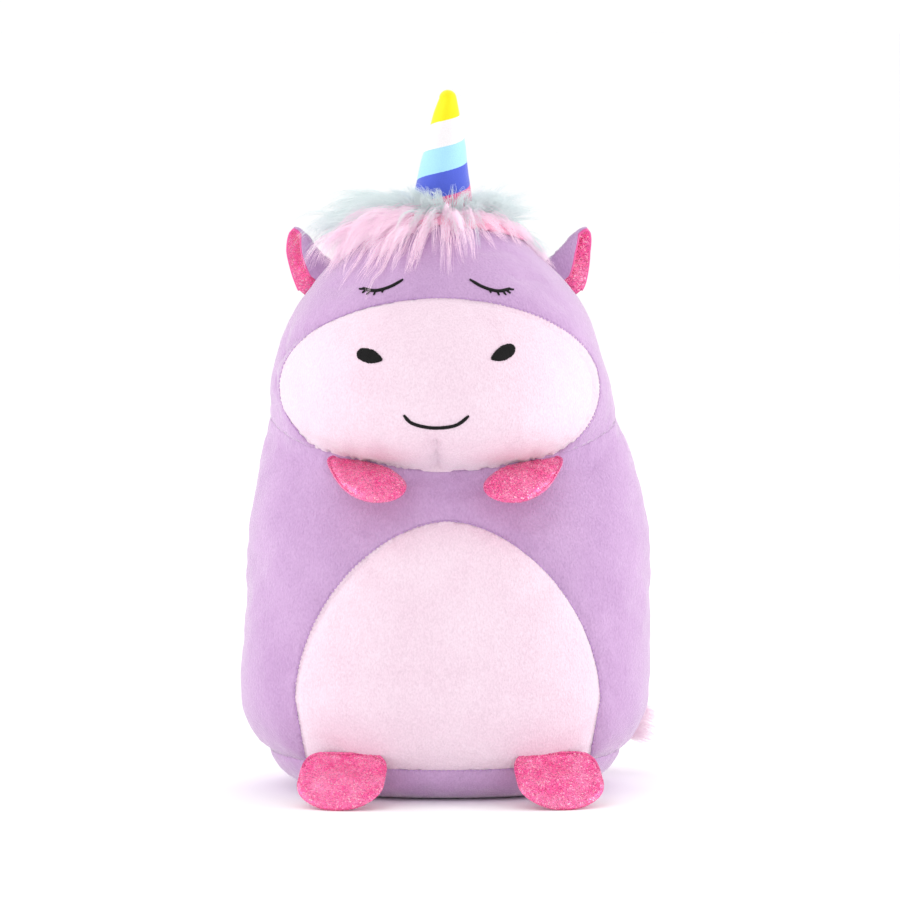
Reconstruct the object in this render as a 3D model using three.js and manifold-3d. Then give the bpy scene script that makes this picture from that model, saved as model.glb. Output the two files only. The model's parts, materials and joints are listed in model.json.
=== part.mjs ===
// Plush unicorn that sits upright: a stuffed torso on a flat base, a wide head with a
// muzzle that overhangs the chest, and a horn, ears, paws, feet and tail that each bend
// at the seam where they are sewn on.
//
// Millimetres, +Z up, the face looks along -Y, and the toy's own left is +X. The origin
// is the middle of the flat base, on the floor.
import * as THREE from 'three';
import { mergeVertices } from 'three/addons/utils/BufferGeometryUtils.js';
import Module from 'manifold-3d';

const wasm = await Module();
wasm.setup();

// ---------------------------------------------------------------- driving dimensions

// Torso
const TORSO_HEIGHT = 207; // floor to the neck crease at the sides
const TORSO_WIDTH = 234;
const TORSO_FRONT = 101; // centre plane to the belly's foremost point
const TORSO_BACK = 94; // centre plane to the back's rearmost point
const BASE_SEAM_HEIGHT = 22;

// Head
const HEAD_HEIGHT = 151; // underside of the chin to the crown
const HEAD_WIDTH = 195;
const HEAD_FRONT = 112;
const HEAD_BACK = 80;
const HEAD_SINK = 27; // how far the chin sits below the neck crease

// Fabric and seams
const SKIN = 2.5; // velour with its pile
const LIMB_SKIN = 1.8; // thinner fabric of paws, feet and horn
const GAP = 0.3; // clearance between pieces that are sewn edge to edge
const LOOSE = 1.2; // between the loose filling and the skin
const SIDE_SEAM_Y = 4; // plane of the seam from crown to base along both sides

// Face and belly patches
const FACE_SHIFT = -3; // the face sits slightly to the toy's right
const MUZZLE_WIDTH = 180;
const MUZZLE_ARCH = 54; // rise of the seam over the muzzle's widest line
const MUZZLE_DROP = 52; // fall of the seam under it
const MUZZLE_LINE_SHARE = 0.338; // height of the widest line, as a share of the head
const MUZZLE_REAR_Y = -25;
const BELLY_WIDTH = 172;
const BELLY_SHIFT = 1.5;
const BELLY_WIDE_HEIGHT = 58;
const BELLY_TOP_DROP = 47; // top of the belly patch below the neck crease
const BELLY_FOOT_NARROWING = 6;
const BELLY_ARCH_POWER = 1.8;

// Embroidery
const THREAD_HEIGHT = 1.2;
const STITCH_SHIFT = -4.8; // the features sit a little further to the toy's right than the muzzle
const EYE_SPREAD = 61; // between the middles of the two closed eyes
const EYE_WIDTH = 23;
const EYE_DIP = 5;
const EYE_LINE = 2.4;
const EYE_RISE = 8; // above the top of the muzzle seam
const LASH_COUNT = 4;
const LASH_LENGTH = 4;
const NOSTRIL_SPREAD = 74;
const NOSTRIL_LENGTH = 16;
const NOSTRIL_THICKNESS = 7;
const NOSTRIL_RISE = 24; // above the muzzle's widest line
const NOSTRIL_TILT = 25; // degrees, inner end down
const SMILE_WIDTH = 35;
const SMILE_DIP = 6;
const SMILE_LINE = 2.2;
const SMILE_DROP = 10; // below the muzzle's widest line

// Mane: long-pile strips sewn round the horn and down the back of the head
const MANE_PILE = 2.6;
const MANE_HALF_SPAN = 49;
const MANE_HALF_DEPTH = 37;
const MANE_SPLIT_Y = -9; // where the front and rear strips meet beside the horn
const BACK_MANE_WIDTH = 26;
const BACK_MANE_DROP = 115; // from the crown down to the strip's lower end

// Horn
const HORN_LENGTH = 63;
const HORN_BASE_RADIUS = 17;
const HORN_TIP_RADIUS = 5;
const HORN_BULGE = 0.8;
const HORN_LEAN = 3; // degrees towards the toy's left
const HORN_STAND = 1.5; // above the crown, so that the base can rock
const HORN_ROOM = 3; // between the base and the mane

// Ears
const EAR_BASE = 24;
const EAR_HEIGHT = 24.5;
const EAR_LAYER = 1.2;
const EAR_OPENING = 9; // depth of the fold where it stands open
const EAR_FLAP = 0.55; // share of the width that is folded to the front
const EAR_LEAN = 11; // drift of the tip towards the crown
const EAR_CLEARANCE = 3.2;
const EAR_HEIGHT_SHARE = 0.718; // middle of the ear's base, as a share of the head

// Paws
const ARM_LENGTH = 54;
const ARM_WIDTH = 29;
const ARM_THICKNESS = 16;
const ARM_SPREAD = 122; // between the two shoulder seams
const ARM_DROP = 15; // shoulder seam below the neck crease
const ARM_CLEARANCE = 4;
const ARM_AIM = { inward: 0.62, forward: 0.72, down: 0.3 };
const ARM_ROOT_FULLNESS = 0.45; // share of the full thickness at the shoulder seam

// Feet
const FOOT_LENGTH = 38;
const FOOT_WIDTH = 49;
const FOOT_THICKNESS = 15;
const FOOT_SPREAD = 114;
const FEET_SHIFT = 2.8;
const FOOT_PITCH = 42; // degrees down from level
const FOOT_SPLAY = 0.55; // share of the way from straight ahead to square with the seam
const FOOT_ROOT_SQUARENESS = 5; // the sewn edge is nearly straight
const FOOT_ROOT_FULLNESS = 0.3;
const FOOT_CLEARANCE = 3;
const FLOOR_CLEARANCE = 0.3;

// Tail
const TAIL_HALF_WIDTH = 11;
const TAIL_HALF_THICKNESS = 4.5;
const TAIL_ROOT_HEIGHT = 50;
const TAIL_TIP_HEIGHT = 25;
const TAIL_STANDOFF = 8; // between the back and the middle of the tail
const TAIL_TIP_STANDOFF = 12.8; // the tip leans further out
const TAIL_ROOT_X = 5;
const TAIL_TIP_DEPTH_SHARE = 0.66; // how far round the side the tip lies

// Shapes of the torso and head: height, half-width, front depth and back depth of each
// station, as shares of the driving sizes.
const TORSO_STATIONS = [
  [0.0, 0.6, 0.61, 0.64],
  [0.024, 0.735, 0.75, 0.77],
  [0.106, 0.875, 0.88, 0.89],
  [0.21, 0.98, 0.965, 0.98],
  [0.3, 1.0, 1.0, 1.0],
  [0.48, 0.99, 0.99, 0.985],
  [0.67, 0.98, 0.925, 0.94],
  [0.78, 0.955, 0.86, 0.91],
  [0.9, 0.905, 0.77, 0.87],
  [1.0, 0.85, 0.7, 0.86],
  [1.04, 0.8, 0.62, 0.8],
  [1.08, 0.62, 0.5, 0.62],
  [1.1, 0, 0, 0],
];
const HEAD_STATIONS = [
  [0.0, 0, 0, 0],
  [0.014, 0.31, 0.54, 0.5],
  [0.09, 0.72, 0.82, 0.8],
  [0.145, 0.92, 0.91, 0.93],
  [0.2, 0.99, 0.97, 0.99],
  [0.31, 1.0, 1.0, 1.01],
  [0.428, 0.945, 0.975, 0.99],
  [0.524, 0.9, 0.92, 0.96],
  [0.64, 0.81, 0.81, 0.88],
  [0.766, 0.65, 0.635, 0.72],
  [0.87, 0.48, 0.46, 0.54],
  [0.955, 0.27, 0.26, 0.32],
  [1.0, 0, 0, 0],
];
const SQUARENESS = 2.3; // superellipse power of the level sections

const SKIN_SEGMENTS = 36;
const FILLING_SEGMENTS = 24;

const COLOURS = {
  lilac: 0xdcbfe6,
  blush: 0xfae4f1,
  glitter: 0xee6ba3,
  thread: 0x151315,
  filling: 0xf4f2ec,
  mint: 0xe2ebe9,
  rose: 0xeebcd6,
  horn: 0xf6e64b,
  tail: 0xf8e2f2,
};

// ---------------------------------------------------------------- derived sizes

const TORSO = {
  stations: TORSO_STATIONS,
  bottom: 0,
  height: TORSO_HEIGHT,
  width: TORSO_WIDTH,
  front: TORSO_FRONT,
  back: TORSO_BACK,
  flatBottom: true,
};
const HEAD = {
  stations: HEAD_STATIONS,
  bottom: TORSO_HEIGHT - HEAD_SINK,
  height: HEAD_HEIGHT,
  width: HEAD_WIDTH,
  front: HEAD_FRONT,
  back: HEAD_BACK,
  flatBottom: false,
};
const CROWN_Z = HEAD.bottom + HEAD.height;
const BELLY_ARCH = TORSO_HEIGHT - BELLY_TOP_DROP - BELLY_WIDE_HEIGHT;
const MUZZLE_LINE_Z = HEAD.bottom + MUZZLE_LINE_SHARE * HEAD.height;
const SIDES = [
  { name: 'left', sign: 1 },
  { name: 'right', sign: -1 },
];
const FAR = 2 * (TORSO_HEIGHT + HEAD_HEIGHT); // beyond the toy in any direction
const degrees = THREE.MathUtils.degToRad;

// ---------------------------------------------------------------- geometry helpers

// Closed geometry from points and triangles, with its faces turned outwards.
function closedGeometry(points, triangles) {
  let volume = 0;
  for (const [a, b, c] of triangles) {
    volume += points[a].dot(new THREE.Vector3().crossVectors(points[b], points[c]));
  }
  const turned = volume < 0 ? triangles.map(([a, b, c]) => [a, c, b]) : triangles;
  const geometry = new THREE.BufferGeometry().setFromPoints(points);
  geometry.setIndex(turned.flat());
  return geometry;
}

// Closed geometry through equal loops of points, with a cap point at each end.
function loopsGeometry(loops, startCap, endCap) {
  const count = loops[0].length;
  const points = [...loops.flat(), startCap, endCap];
  const start = points.length - 2;
  const end = points.length - 1;
  const triangles = [];
  for (let j = 0; j < count; j += 1) {
    const k = (j + 1) % count;
    triangles.push([start, k, j]);
    for (let i = 0; i + 1 < loops.length; i += 1) {
      const low = i * count;
      const high = low + count;
      triangles.push([low + j, low + k, high + k], [low + j, high + k, high + j]);
    }
    const last = (loops.length - 1) * count;
    triangles.push([last + j, last + k, end]);
  }
  return closedGeometry(points, triangles);
}

function toSolid(geometry) {
  const bare = geometry.clone();
  bare.deleteAttribute('normal');
  bare.deleteAttribute('uv');
  const merged = mergeVertices(bare, 1e-4);
  return new wasm.Manifold(new wasm.Mesh({
    numProp: 3,
    vertProperties: merged.attributes.position.array,
    triVerts: merged.index.array,
  }));
}

function toGeometry(manifold) {
  const mesh = manifold.getMesh();
  const geometry = new THREE.BufferGeometry();
  geometry.setAttribute('position', new THREE.BufferAttribute(mesh.vertProperties, 3));
  geometry.setIndex(new THREE.BufferAttribute(mesh.triVerts, 1));
  return geometry;
}

function block(low, high) {
  const size = new THREE.Vector3().subVectors(high, low);
  const geometry = new THREE.BoxGeometry(size.x, size.y, size.z);
  geometry.translate((low.x + high.x) / 2, (low.y + high.y) / 2, (low.z + high.z) / 2);
  return toSolid(geometry);
}

// Block between two coordinates on one axis, and past the toy on the others.
function slab(axis, low, high) {
  const from = new THREE.Vector3(-FAR, -FAR, -FAR);
  const to = new THREE.Vector3(FAR, FAR, FAR);
  from[axis] = low;
  to[axis] = high;
  return block(from, to);
}

// Prism that runs along Y from yLow to yHigh, with an outline of [x, z] points.
function frontPrism(outline, yLow, yHigh) {
  const shape = new THREE.Shape(outline.map(([x, z]) => new THREE.Vector2(x, z)));
  const geometry = new THREE.ExtrudeGeometry(shape, {
    depth: yHigh - yLow,
    bevelEnabled: false,
  });
  geometry.rotateX(Math.PI / 2);
  geometry.translate(0, yHigh, 0);
  return toSolid(geometry);
}

// ---------------------------------------------------------------- torso and head forms

function stationAt(stations, t) {
  const i = Math.min(Math.floor(t), stations.length - 2);
  const u = t - i;
  const rows = [i - 1, i, i + 1, i + 2].map(
    (k) => stations[THREE.MathUtils.clamp(k, 0, stations.length - 1)],
  );
  return stations[i].map((_, column) => {
    const [p0, p1, p2, p3] = rows.map((row) => row[column]);
    const cubic = 3 * (p1 - p2) + p3 - p0;
    const square = 2 * p0 - 5 * p1 + 4 * p2 - p3;
    return p1 + 0.5 * u * (p2 - p0 + u * (square + u * cubic));
  });
}

function formPoint(form, t, angle) {
  const [height, side, front, back] = stationAt(form.stations, t);
  const across = Math.cos(angle);
  const along = Math.sin(angle);
  const power = 2 / SQUARENESS;
  const depth = along < 0 ? front * form.front : back * form.back;
  return new THREE.Vector3(
    (side * form.width / 2) * Math.sign(across) * Math.abs(across) ** power,
    depth * Math.sign(along) * Math.abs(along) ** power,
    form.bottom + height * form.height,
  );
}

function formNormal(form, t, angle) {
  const step = 0.02;
  const round = new THREE.Vector3().subVectors(
    formPoint(form, t, angle + step),
    formPoint(form, t, angle - step),
  );
  const last = form.stations.length - 1;
  const up = new THREE.Vector3().subVectors(
    formPoint(form, Math.min(t + step, last), angle),
    formPoint(form, Math.max(t - step, 0), angle),
  );
  return round.cross(up).normalize();
}

// The whole form as a solid, grown (or shrunk) by an offset along its surface normals.
function formSolid(form, offset, segments) {
  const last = form.stations.length - 1;
  const loops = [];
  for (let i = form.flatBottom ? 0 : 1; i < last; i += 1) {
    const loop = [];
    for (let j = 0; j < segments; j += 1) {
      const angle = ((j + 0.5) / segments) * 2 * Math.PI;
      const point = formPoint(form, i, angle);
      const normal = formNormal(form, i, angle);
      if (i === 0) normal.set(normal.x, normal.y, -1);
      loop.push(point.addScaledVector(normal, offset));
    }
    loops.push(loop);
  }
  const bottom = new THREE.Vector3(0, 0, form.bottom - offset);
  const top = new THREE.Vector3(0, 0, form.bottom + form.height * form.stations[last][0] + offset);
  return toSolid(loopsGeometry(loops, bottom, top));
}

// Station parameter at a height.
function parameterAt(form, z) {
  let low = 0;
  let high = form.stations.length - 1;
  for (let i = 0; i < 40; i += 1) {
    const middle = (low + high) / 2;
    if (form.bottom + stationAt(form.stations, middle)[0] * form.height < z) low = middle;
    else high = middle;
  }
  return low;
}

// Half-width, front depth and back depth of a form at a height.
function sectionAt(form, z) {
  const [, side, front, back] = stationAt(form.stations, parameterAt(form, z));
  return { half: side * form.width / 2, front: front * form.front, back: back * form.back };
}

function depthAt(half, depth, x) {
  return depth * (1 - Math.min(Math.abs(x) / half, 1) ** SQUARENESS) ** (1 / SQUARENESS);
}

// ---------------------------------------------------------------- skin panels

function muzzleOutline(grow) {
  const half = MUZZLE_WIDTH / 2 + grow;
  const steps = 40;
  const outline = [];
  for (let i = 0; i < steps; i += 1) {
    const angle = (i / steps) * 2 * Math.PI;
    const reach = (angle < Math.PI ? MUZZLE_ARCH : MUZZLE_DROP) + grow;
    outline.push([
      FACE_SHIFT + half * Math.cos(angle),
      MUZZLE_LINE_Z + reach * Math.sin(angle),
    ]);
  }
  return outline;
}

function bellyOutline(grow) {
  const half = BELLY_WIDTH / 2 + grow;
  const rise = BELLY_ARCH + grow;
  const steps = 28;
  const outline = [];
  for (let i = 0; i <= steps; i += 1) {
    const angle = (i / steps) * Math.PI;
    const across = Math.cos(angle);
    outline.push([
      BELLY_SHIFT + half * Math.sign(across) * Math.abs(across) ** (2 / BELLY_ARCH_POWER),
      BELLY_WIDE_HEIGHT + rise * Math.sin(angle) ** (2 / BELLY_ARCH_POWER),
    ]);
  }
  const foot = half - BELLY_FOOT_NARROWING;
  outline.push([BELLY_SHIFT - foot, BASE_SEAM_HEIGHT / 2], [BELLY_SHIFT + foot, BASE_SEAM_HEIGHT / 2]);
  return outline;
}

// The base, and the front of the torso up to the crease under the muzzle.
function torsoPanels() {
  const shell = formSolid(TORSO, 0, SKIN_SEGMENTS)
    .subtract(formSolid(TORSO, -SKIN, SKIN_SEGMENTS))
    .subtract(formSolid(HEAD, GAP, SKIN_SEGMENTS));
  const front = shell
    .intersect(slab('z', BASE_SEAM_HEIGHT + GAP / 2, FAR))
    .intersect(slab('y', -FAR, SIDE_SEAM_Y - GAP / 2));
  return {
    base_panel: shell.intersect(slab('z', -FAR, BASE_SEAM_HEIGHT - GAP / 2)),
    belly_panel: front.intersect(frontPrism(bellyOutline(-GAP / 2), -FAR, 0)),
    chest_panel: front.subtract(frontPrism(bellyOutline(GAP / 2), -FAR, 0)),
  };
}

// Two panels that run from the base to the crown and meet in the centre-back seam.
function backPanels() {
  const outer = formSolid(TORSO, 0, SKIN_SEGMENTS).add(formSolid(HEAD, 0, SKIN_SEGMENTS));
  const inner = formSolid(TORSO, -SKIN, SKIN_SEGMENTS).add(formSolid(HEAD, -SKIN, SKIN_SEGMENTS));
  const rear = outer
    .subtract(inner)
    .intersect(slab('z', BASE_SEAM_HEIGHT + GAP / 2, FAR))
    .intersect(slab('y', SIDE_SEAM_Y + GAP / 2, FAR));
  return {
    back_left_panel: rear.intersect(slab('x', GAP / 2, FAR)),
    back_right_panel: rear.intersect(slab('x', -FAR, -GAP / 2)),
  };
}

// The face: the muzzle and the forehead, which reaches round it to the cheeks.
function facePanels() {
  const shell = formSolid(HEAD, 0, SKIN_SEGMENTS)
    .subtract(formSolid(HEAD, -SKIN, SKIN_SEGMENTS))
    .subtract(formSolid(TORSO, -SKIN, SKIN_SEGMENTS));
  const front = shell.intersect(slab('y', -FAR, SIDE_SEAM_Y - GAP / 2));
  return {
    muzzle_panel: front.intersect(frontPrism(muzzleOutline(-GAP / 2), -FAR, MUZZLE_REAR_Y)),
    forehead_panel: front.subtract(frontPrism(muzzleOutline(GAP / 2), -FAR, MUZZLE_REAR_Y + GAP)),
  };
}

function fillings() {
  const inset = -(SKIN + LOOSE);
  const head = formSolid(HEAD, inset, FILLING_SEGMENTS);
  const torso = formSolid(TORSO, inset, FILLING_SEGMENTS)
    .subtract(formSolid(HEAD, GAP, FILLING_SEGMENTS));
  return { head_filling: head, body_filling: torso };
}

// ---------------------------------------------------------------- embroidery and mane

// Layer of a given height that lies on the head.
function headLayer(height) {
  return formSolid(HEAD, GAP + height, SKIN_SEGMENTS).subtract(formSolid(HEAD, GAP, SKIN_SEGMENTS));
}

// Outline of a line of stitches of constant width through [x, z] points.
function strokeOutline(points, width) {
  const left = [];
  const right = [];
  points.forEach(([x, z], i) => {
    const [ax, az] = points[Math.max(i - 1, 0)];
    const [bx, bz] = points[Math.min(i + 1, points.length - 1)];
    const length = Math.hypot(bx - ax, bz - az);
    const nx = (-(bz - az) / length) * (width / 2);
    const nz = ((bx - ax) / length) * (width / 2);
    left.push([x + nx, z + nz]);
    right.unshift([x - nx, z - nz]);
  });
  return [...left, ...right];
}

// Points of a hanging arc: width across, dip at the middle, ends at height z.
function hangingArc(x, z, width, dip) {
  const steps = 10;
  const points = [];
  for (let i = 0; i <= steps; i += 1) {
    const share = (2 * i) / steps - 1;
    points.push([x + (share * width) / 2, z - dip * (1 - share * share)]);
  }
  return points;
}

function closedEye(layer, sign) {
  const x = STITCH_SHIFT + (sign * EYE_SPREAD) / 2;
  const z = MUZZLE_LINE_Z + MUZZLE_ARCH + EYE_RISE;
  const line = hangingArc(x, z, EYE_WIDTH, EYE_DIP);
  let strokes = frontPrism(strokeOutline(line, EYE_LINE), -FAR, 0);
  for (let i = 0; i < LASH_COUNT; i += 1) {
    const share = i / (LASH_COUNT - 1);
    const outer = sign > 0 ? line.length - 1 - i : i;
    const [fromX, fromZ] = line[outer];
    const lean = degrees(80 - 60 * (1 - share));
    const to = [
      fromX + sign * LASH_LENGTH * Math.cos(lean),
      fromZ - LASH_LENGTH * Math.sin(lean),
    ];
    const lash = strokeOutline([[fromX, fromZ], to], EYE_LINE / 2);
    strokes = strokes.add(frontPrism(lash, -FAR, 0));
  }
  return layer.intersect(strokes);
}

function nostril(layer, sign) {
  const x = STITCH_SHIFT + (sign * NOSTRIL_SPREAD) / 2;
  const z = MUZZLE_LINE_Z + NOSTRIL_RISE;
  const tilt = sign * degrees(NOSTRIL_TILT);
  const steps = 20;
  const outline = [];
  for (let i = 0; i < steps; i += 1) {
    const angle = (i / steps) * 2 * Math.PI;
    const along = (NOSTRIL_LENGTH / 2) * Math.cos(angle);
    const across = (NOSTRIL_THICKNESS / 2) * Math.sin(angle);
    outline.push([
      x + along * Math.cos(tilt) - across * Math.sin(tilt),
      z + along * Math.sin(tilt) + across * Math.cos(tilt),
    ]);
  }
  return layer.intersect(frontPrism(outline, -FAR, 0));
}

function embroidery() {
  const layer = headLayer(THREAD_HEIGHT);
  const smile = hangingArc(STITCH_SHIFT, MUZZLE_LINE_Z - SMILE_DROP, SMILE_WIDTH, SMILE_DIP);
  const pieces = {
    smile: layer.intersect(frontPrism(strokeOutline(smile, SMILE_LINE), -FAR, 0)),
  };
  for (const { name, sign } of SIDES) {
    pieces[`eye_${name}`] = closedEye(layer, sign);
    pieces[`nostril_${name}`] = nostril(layer, sign);
  }
  return pieces;
}

// Upright cylinder through the crown.
function crownCylinder(radius, segments) {
  const geometry = new THREE.CylinderGeometry(radius, radius, FAR, segments);
  geometry.rotateX(Math.PI / 2);
  return geometry.translate(0, 0, CROWN_Z);
}

function maneStrips() {
  const layer = headLayer(MANE_PILE).intersect(slab('z', HEAD.bottom + HEAD.height / 4, FAR));
  const horn = toSolid(crownCylinder(HORN_BASE_RADIUS + HORN_ROOM, 24));
  const ovalWith = (grow) => toSolid(crownCylinder(1, 32).scale(
    MANE_HALF_SPAN + grow,
    MANE_HALF_DEPTH + grow,
    1,
  ));
  const around = layer.intersect(ovalWith(0)).subtract(horn);
  const half = BACK_MANE_WIDTH / 2;
  return {
    forelock_strip: around.intersect(slab('y', -FAR, MANE_SPLIT_Y - GAP / 2)),
    crown_mane_strip: around.intersect(slab('y', MANE_SPLIT_Y + GAP / 2, FAR)),
    back_mane_strip: layer
      .subtract(ovalWith(GAP))
      .intersect(slab('x', -half, half))
      .intersect(slab('y', 0, FAR))
      .intersect(slab('z', CROWN_Z - BACK_MANE_DROP, FAR)),
  };
}

// ---------------------------------------------------------------- horn

// Solid of revolution about +Z through [radius, z] rings, closed at both ends.
function roundSolid(rings, bottomZ, topZ) {
  const segments = 20;
  const loops = rings.map(([radius, z]) => {
    const loop = [];
    for (let j = 0; j < segments; j += 1) {
      const angle = (j / segments) * 2 * Math.PI;
      loop.push(new THREE.Vector3(radius * Math.cos(angle), radius * Math.sin(angle), z));
    }
    return loop;
  });
  const bottom = new THREE.Vector3(0, 0, bottomZ);
  return toSolid(loopsGeometry(loops, bottom, new THREE.Vector3(0, 0, topZ)));
}

// The horn's form, shrunk by an inset, from a floor level up.
function hornSolid(inset, floor) {
  const coneTop = HORN_LENGTH - HORN_TIP_RADIUS;
  const steps = 5;
  const rings = [];
  for (let i = 0; i <= steps; i += 1) {
    const z = floor + (i / steps) * (coneTop - floor);
    const share = Math.max(z, 0) / coneTop;
    const radius = HORN_BASE_RADIUS + (HORN_TIP_RADIUS - HORN_BASE_RADIUS) * share;
    rings.push([radius + HORN_BULGE * Math.sin(Math.PI * share) - inset, z]);
  }
  const tip = HORN_TIP_RADIUS - inset;
  const domeSteps = 3;
  for (let i = 1; i < domeSteps; i += 1) {
    const angle = (i / domeSteps) * (Math.PI / 2);
    rings.push([tip * Math.cos(angle), coneTop + tip * Math.sin(angle)]);
  }
  return roundSolid(rings, floor, coneTop + tip);
}

function hornPieces() {
  return {
    horn_cover: hornSolid(0, 0).subtract(hornSolid(LIMB_SKIN, -LIMB_SKIN)),
    horn_filling: hornSolid(LIMB_SKIN + GAP, LIMB_SKIN),
  };
}

// ---------------------------------------------------------------- ears

// Middle surface of a folded ear, in its own frame: x runs along the base towards the
// crown, z up the ear and y to the rear. across goes from the outer edge, round the fold
// and back along the front flap.
function earPoint(across, up) {
  const fold = 1 / (1 + EAR_FLAP);
  const onFlap = across > fold;
  const share = onFlap ? 2 - across / fold : across / fold;
  const leaf = (1 - 0.6 * up ** 1.2) * Math.sqrt(1 - (0.9 * up) ** 6);
  const closed = 3.3 * EAR_LAYER;
  const opening = closed + (EAR_OPENING - closed) * Math.sin(0.8 * Math.PI * up);
  const bend = Math.sqrt(Math.max(1 - share ** 6, 0));
  return new THREE.Vector3(
    (share - 0.5) * EAR_BASE * leaf + EAR_LEAN * up ** 1.3,
    ((onFlap ? -1 : 1) * opening * bend * (0.4 + 0.6 * leaf)) / 2,
    EAR_HEIGHT * up,
  );
}

// One layer of the ear between two offsets from its middle surface.
function earLayer(from, to, mirror) {
  const columns = 12;
  const rows = 5;
  const step = 0.01;
  const points = [];
  for (const offset of [from, to]) {
    for (let i = 0; i <= rows; i += 1) {
      for (let j = 0; j <= columns; j += 1) {
        const up = i / rows;
        const across = j / columns;
        const point = earPoint(across, up);
        const acrossStep = new THREE.Vector3().subVectors(
          earPoint(Math.min(across + step, 1), up),
          earPoint(Math.max(across - step, 0), up),
        );
        const upStep = new THREE.Vector3().subVectors(
          earPoint(across, Math.min(up + step, 1)),
          earPoint(across, Math.max(up - step, 0)),
        );
        point.addScaledVector(acrossStep.cross(upStep).normalize(), offset);
        point.x *= mirror;
        points.push(point);
      }
    }
  }
  return slabGeometry(points, columns, rows);
}

// Closed slab from two equal grids of points, one after the other.
function slabGeometry(points, columns, rows) {
  const width = columns + 1;
  const second = width * (rows + 1);
  const triangles = [];
  const quad = (a, b, c, d) => triangles.push([a, b, c], [a, c, d]);
  for (let i = 0; i < rows; i += 1) {
    for (let j = 0; j < columns; j += 1) {
      const a = i * width + j;
      quad(a, a + width, a + width + 1, a + 1);
      quad(second + a, second + a + 1, second + a + width + 1, second + a + width);
    }
  }
  for (let i = 0; i < rows; i += 1) {
    for (const [edge, flip] of [[0, false], [columns, true]]) {
      const a = i * width + edge;
      const b = a + width;
      if (flip) quad(a, b, second + b, second + a);
      else quad(b, a, second + a, second + b);
    }
  }
  for (let j = 0; j < columns; j += 1) {
    for (const [edge, flip] of [[0, true], [rows, false]]) {
      const a = edge * width + j;
      const b = a + 1;
      if (flip) quad(a, b, second + b, second + a);
      else quad(b, a, second + a, second + b);
    }
  }
  return closedGeometry(points, triangles);
}

// Both ears: their solids in the ear's own frame, and where that frame stands.
function earPieces({ name, sign }) {
  return {
    [`ear_${name}_outer`]: toSolid(earLayer(-(GAP + EAR_LAYER), -GAP, -sign)),
    [`ear_${name}_inner`]: toSolid(earLayer(GAP, GAP + EAR_LAYER, -sign)),
  };
}

function earPlace({ sign }) {
  const z = HEAD.bottom + EAR_HEIGHT_SHARE * HEAD.height;
  const low = sectionAt(HEAD, z - EAR_BASE / 3).half;
  const high = sectionAt(HEAD, z + EAR_BASE / 3).half;
  const lean = Math.atan2((2 * EAR_BASE) / 3, low - high);
  const group = new THREE.Group();
  group.position.set(
    sign * ((low + high) / 2 + EAR_CLEARANCE * Math.sin(lean)),
    SIDE_SEAM_Y,
    z + EAR_CLEARANCE * Math.cos(lean),
  );
  group.rotation.y = sign * lean;
  return group;
}

// ---------------------------------------------------------------- paws and feet

// Stuffed pouch: root at the origin, +Y towards the tip, +Z out of its upper face. rim
// gives the [x, y] of its edge at an angle, and fullness the share of the thickness that
// it has at a share of its length.
function pouchSolid({ rim, fullness, length, thickness }, inset) {
  const segments = 20;
  const rings = [0.4, 0.75, 0.93];
  const middle = new THREE.Vector2(0, length / 2);
  const edge = [];
  for (let j = 0; j < segments; j += 1) {
    const at = (k) => new THREE.Vector2(...rim((2 * Math.PI * k) / segments));
    const tangent = at(j + 0.5).sub(at(j - 0.5)).normalize();
    edge.push(at(j).add(new THREE.Vector2(tangent.y, -tangent.x).multiplyScalar(inset)));
  }
  const loopAt = (share, side) => edge.map((rimPoint) => {
    const point = middle.clone().lerp(rimPoint, share);
    const dome = (1 - share ** 2.2) ** 0.7;
    const height = (thickness / 2 - inset) * dome * fullness(point.y / length);
    return new THREE.Vector3(point.x, point.y, side * height);
  });
  const loops = [
    ...rings.map((share) => loopAt(share, -1)),
    loopAt(1, 0),
    ...rings.toReversed().map((share) => loopAt(share, 1)),
  ];
  const peak = (thickness / 2 - inset) * fullness(0.5);
  const cap = (side) => new THREE.Vector3(middle.x, middle.y, side * peak);
  return toSolid(loopsGeometry(loops, cap(-1), cap(1)));
}

// Upper panel, lower panel and filling of a pouch.
function pouchPieces(pouch, upperName, lowerName, fillingName) {
  const shell = pouchSolid(pouch, 0).subtract(pouchSolid(pouch, LIMB_SKIN));
  return {
    [upperName]: shell.intersect(slab('z', GAP / 2, FAR)),
    [lowerName]: shell.intersect(slab('z', -FAR, -GAP / 2)),
    [fillingName]: pouchSolid(pouch, LIMB_SKIN + GAP),
  };
}

// Group whose +Y and +Z lie along a direction and as near as can be to an upward one.
function aimedGroup(position, direction, upward) {
  const y = direction.clone().normalize();
  const x = new THREE.Vector3().crossVectors(y, upward).normalize();
  const z = new THREE.Vector3().crossVectors(x, y);
  const group = new THREE.Group();
  group.position.copy(position);
  group.rotation.setFromRotationMatrix(new THREE.Matrix4().makeBasis(x, y, z));
  return group;
}

const ARM = {
  length: ARM_LENGTH,
  thickness: ARM_THICKNESS,
  rim: (angle) => [
    -(ARM_WIDTH / 2) * Math.sin(angle) * (1 - 0.3 * Math.cos(angle)),
    (ARM_LENGTH / 2) * (1 - Math.cos(angle)),
  ],
  fullness: (along) => THREE.MathUtils.lerp(ARM_ROOT_FULLNESS, 1, Math.min(2 * along, 1)),
};

function armPlace({ sign }) {
  const z = TORSO_HEIGHT - ARM_DROP;
  const section = sectionAt(TORSO, z);
  const x = ARM_SPREAD / 2;
  const y = -depthAt(section.half, section.front, x) - ARM_CLEARANCE;
  const { inward, forward, down } = ARM_AIM;
  const direction = new THREE.Vector3(-inward * sign, -forward, -down);
  return aimedGroup(new THREE.Vector3(sign * x, y, z), direction, new THREE.Vector3(0, -0.5, 0.85));
}

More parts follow.
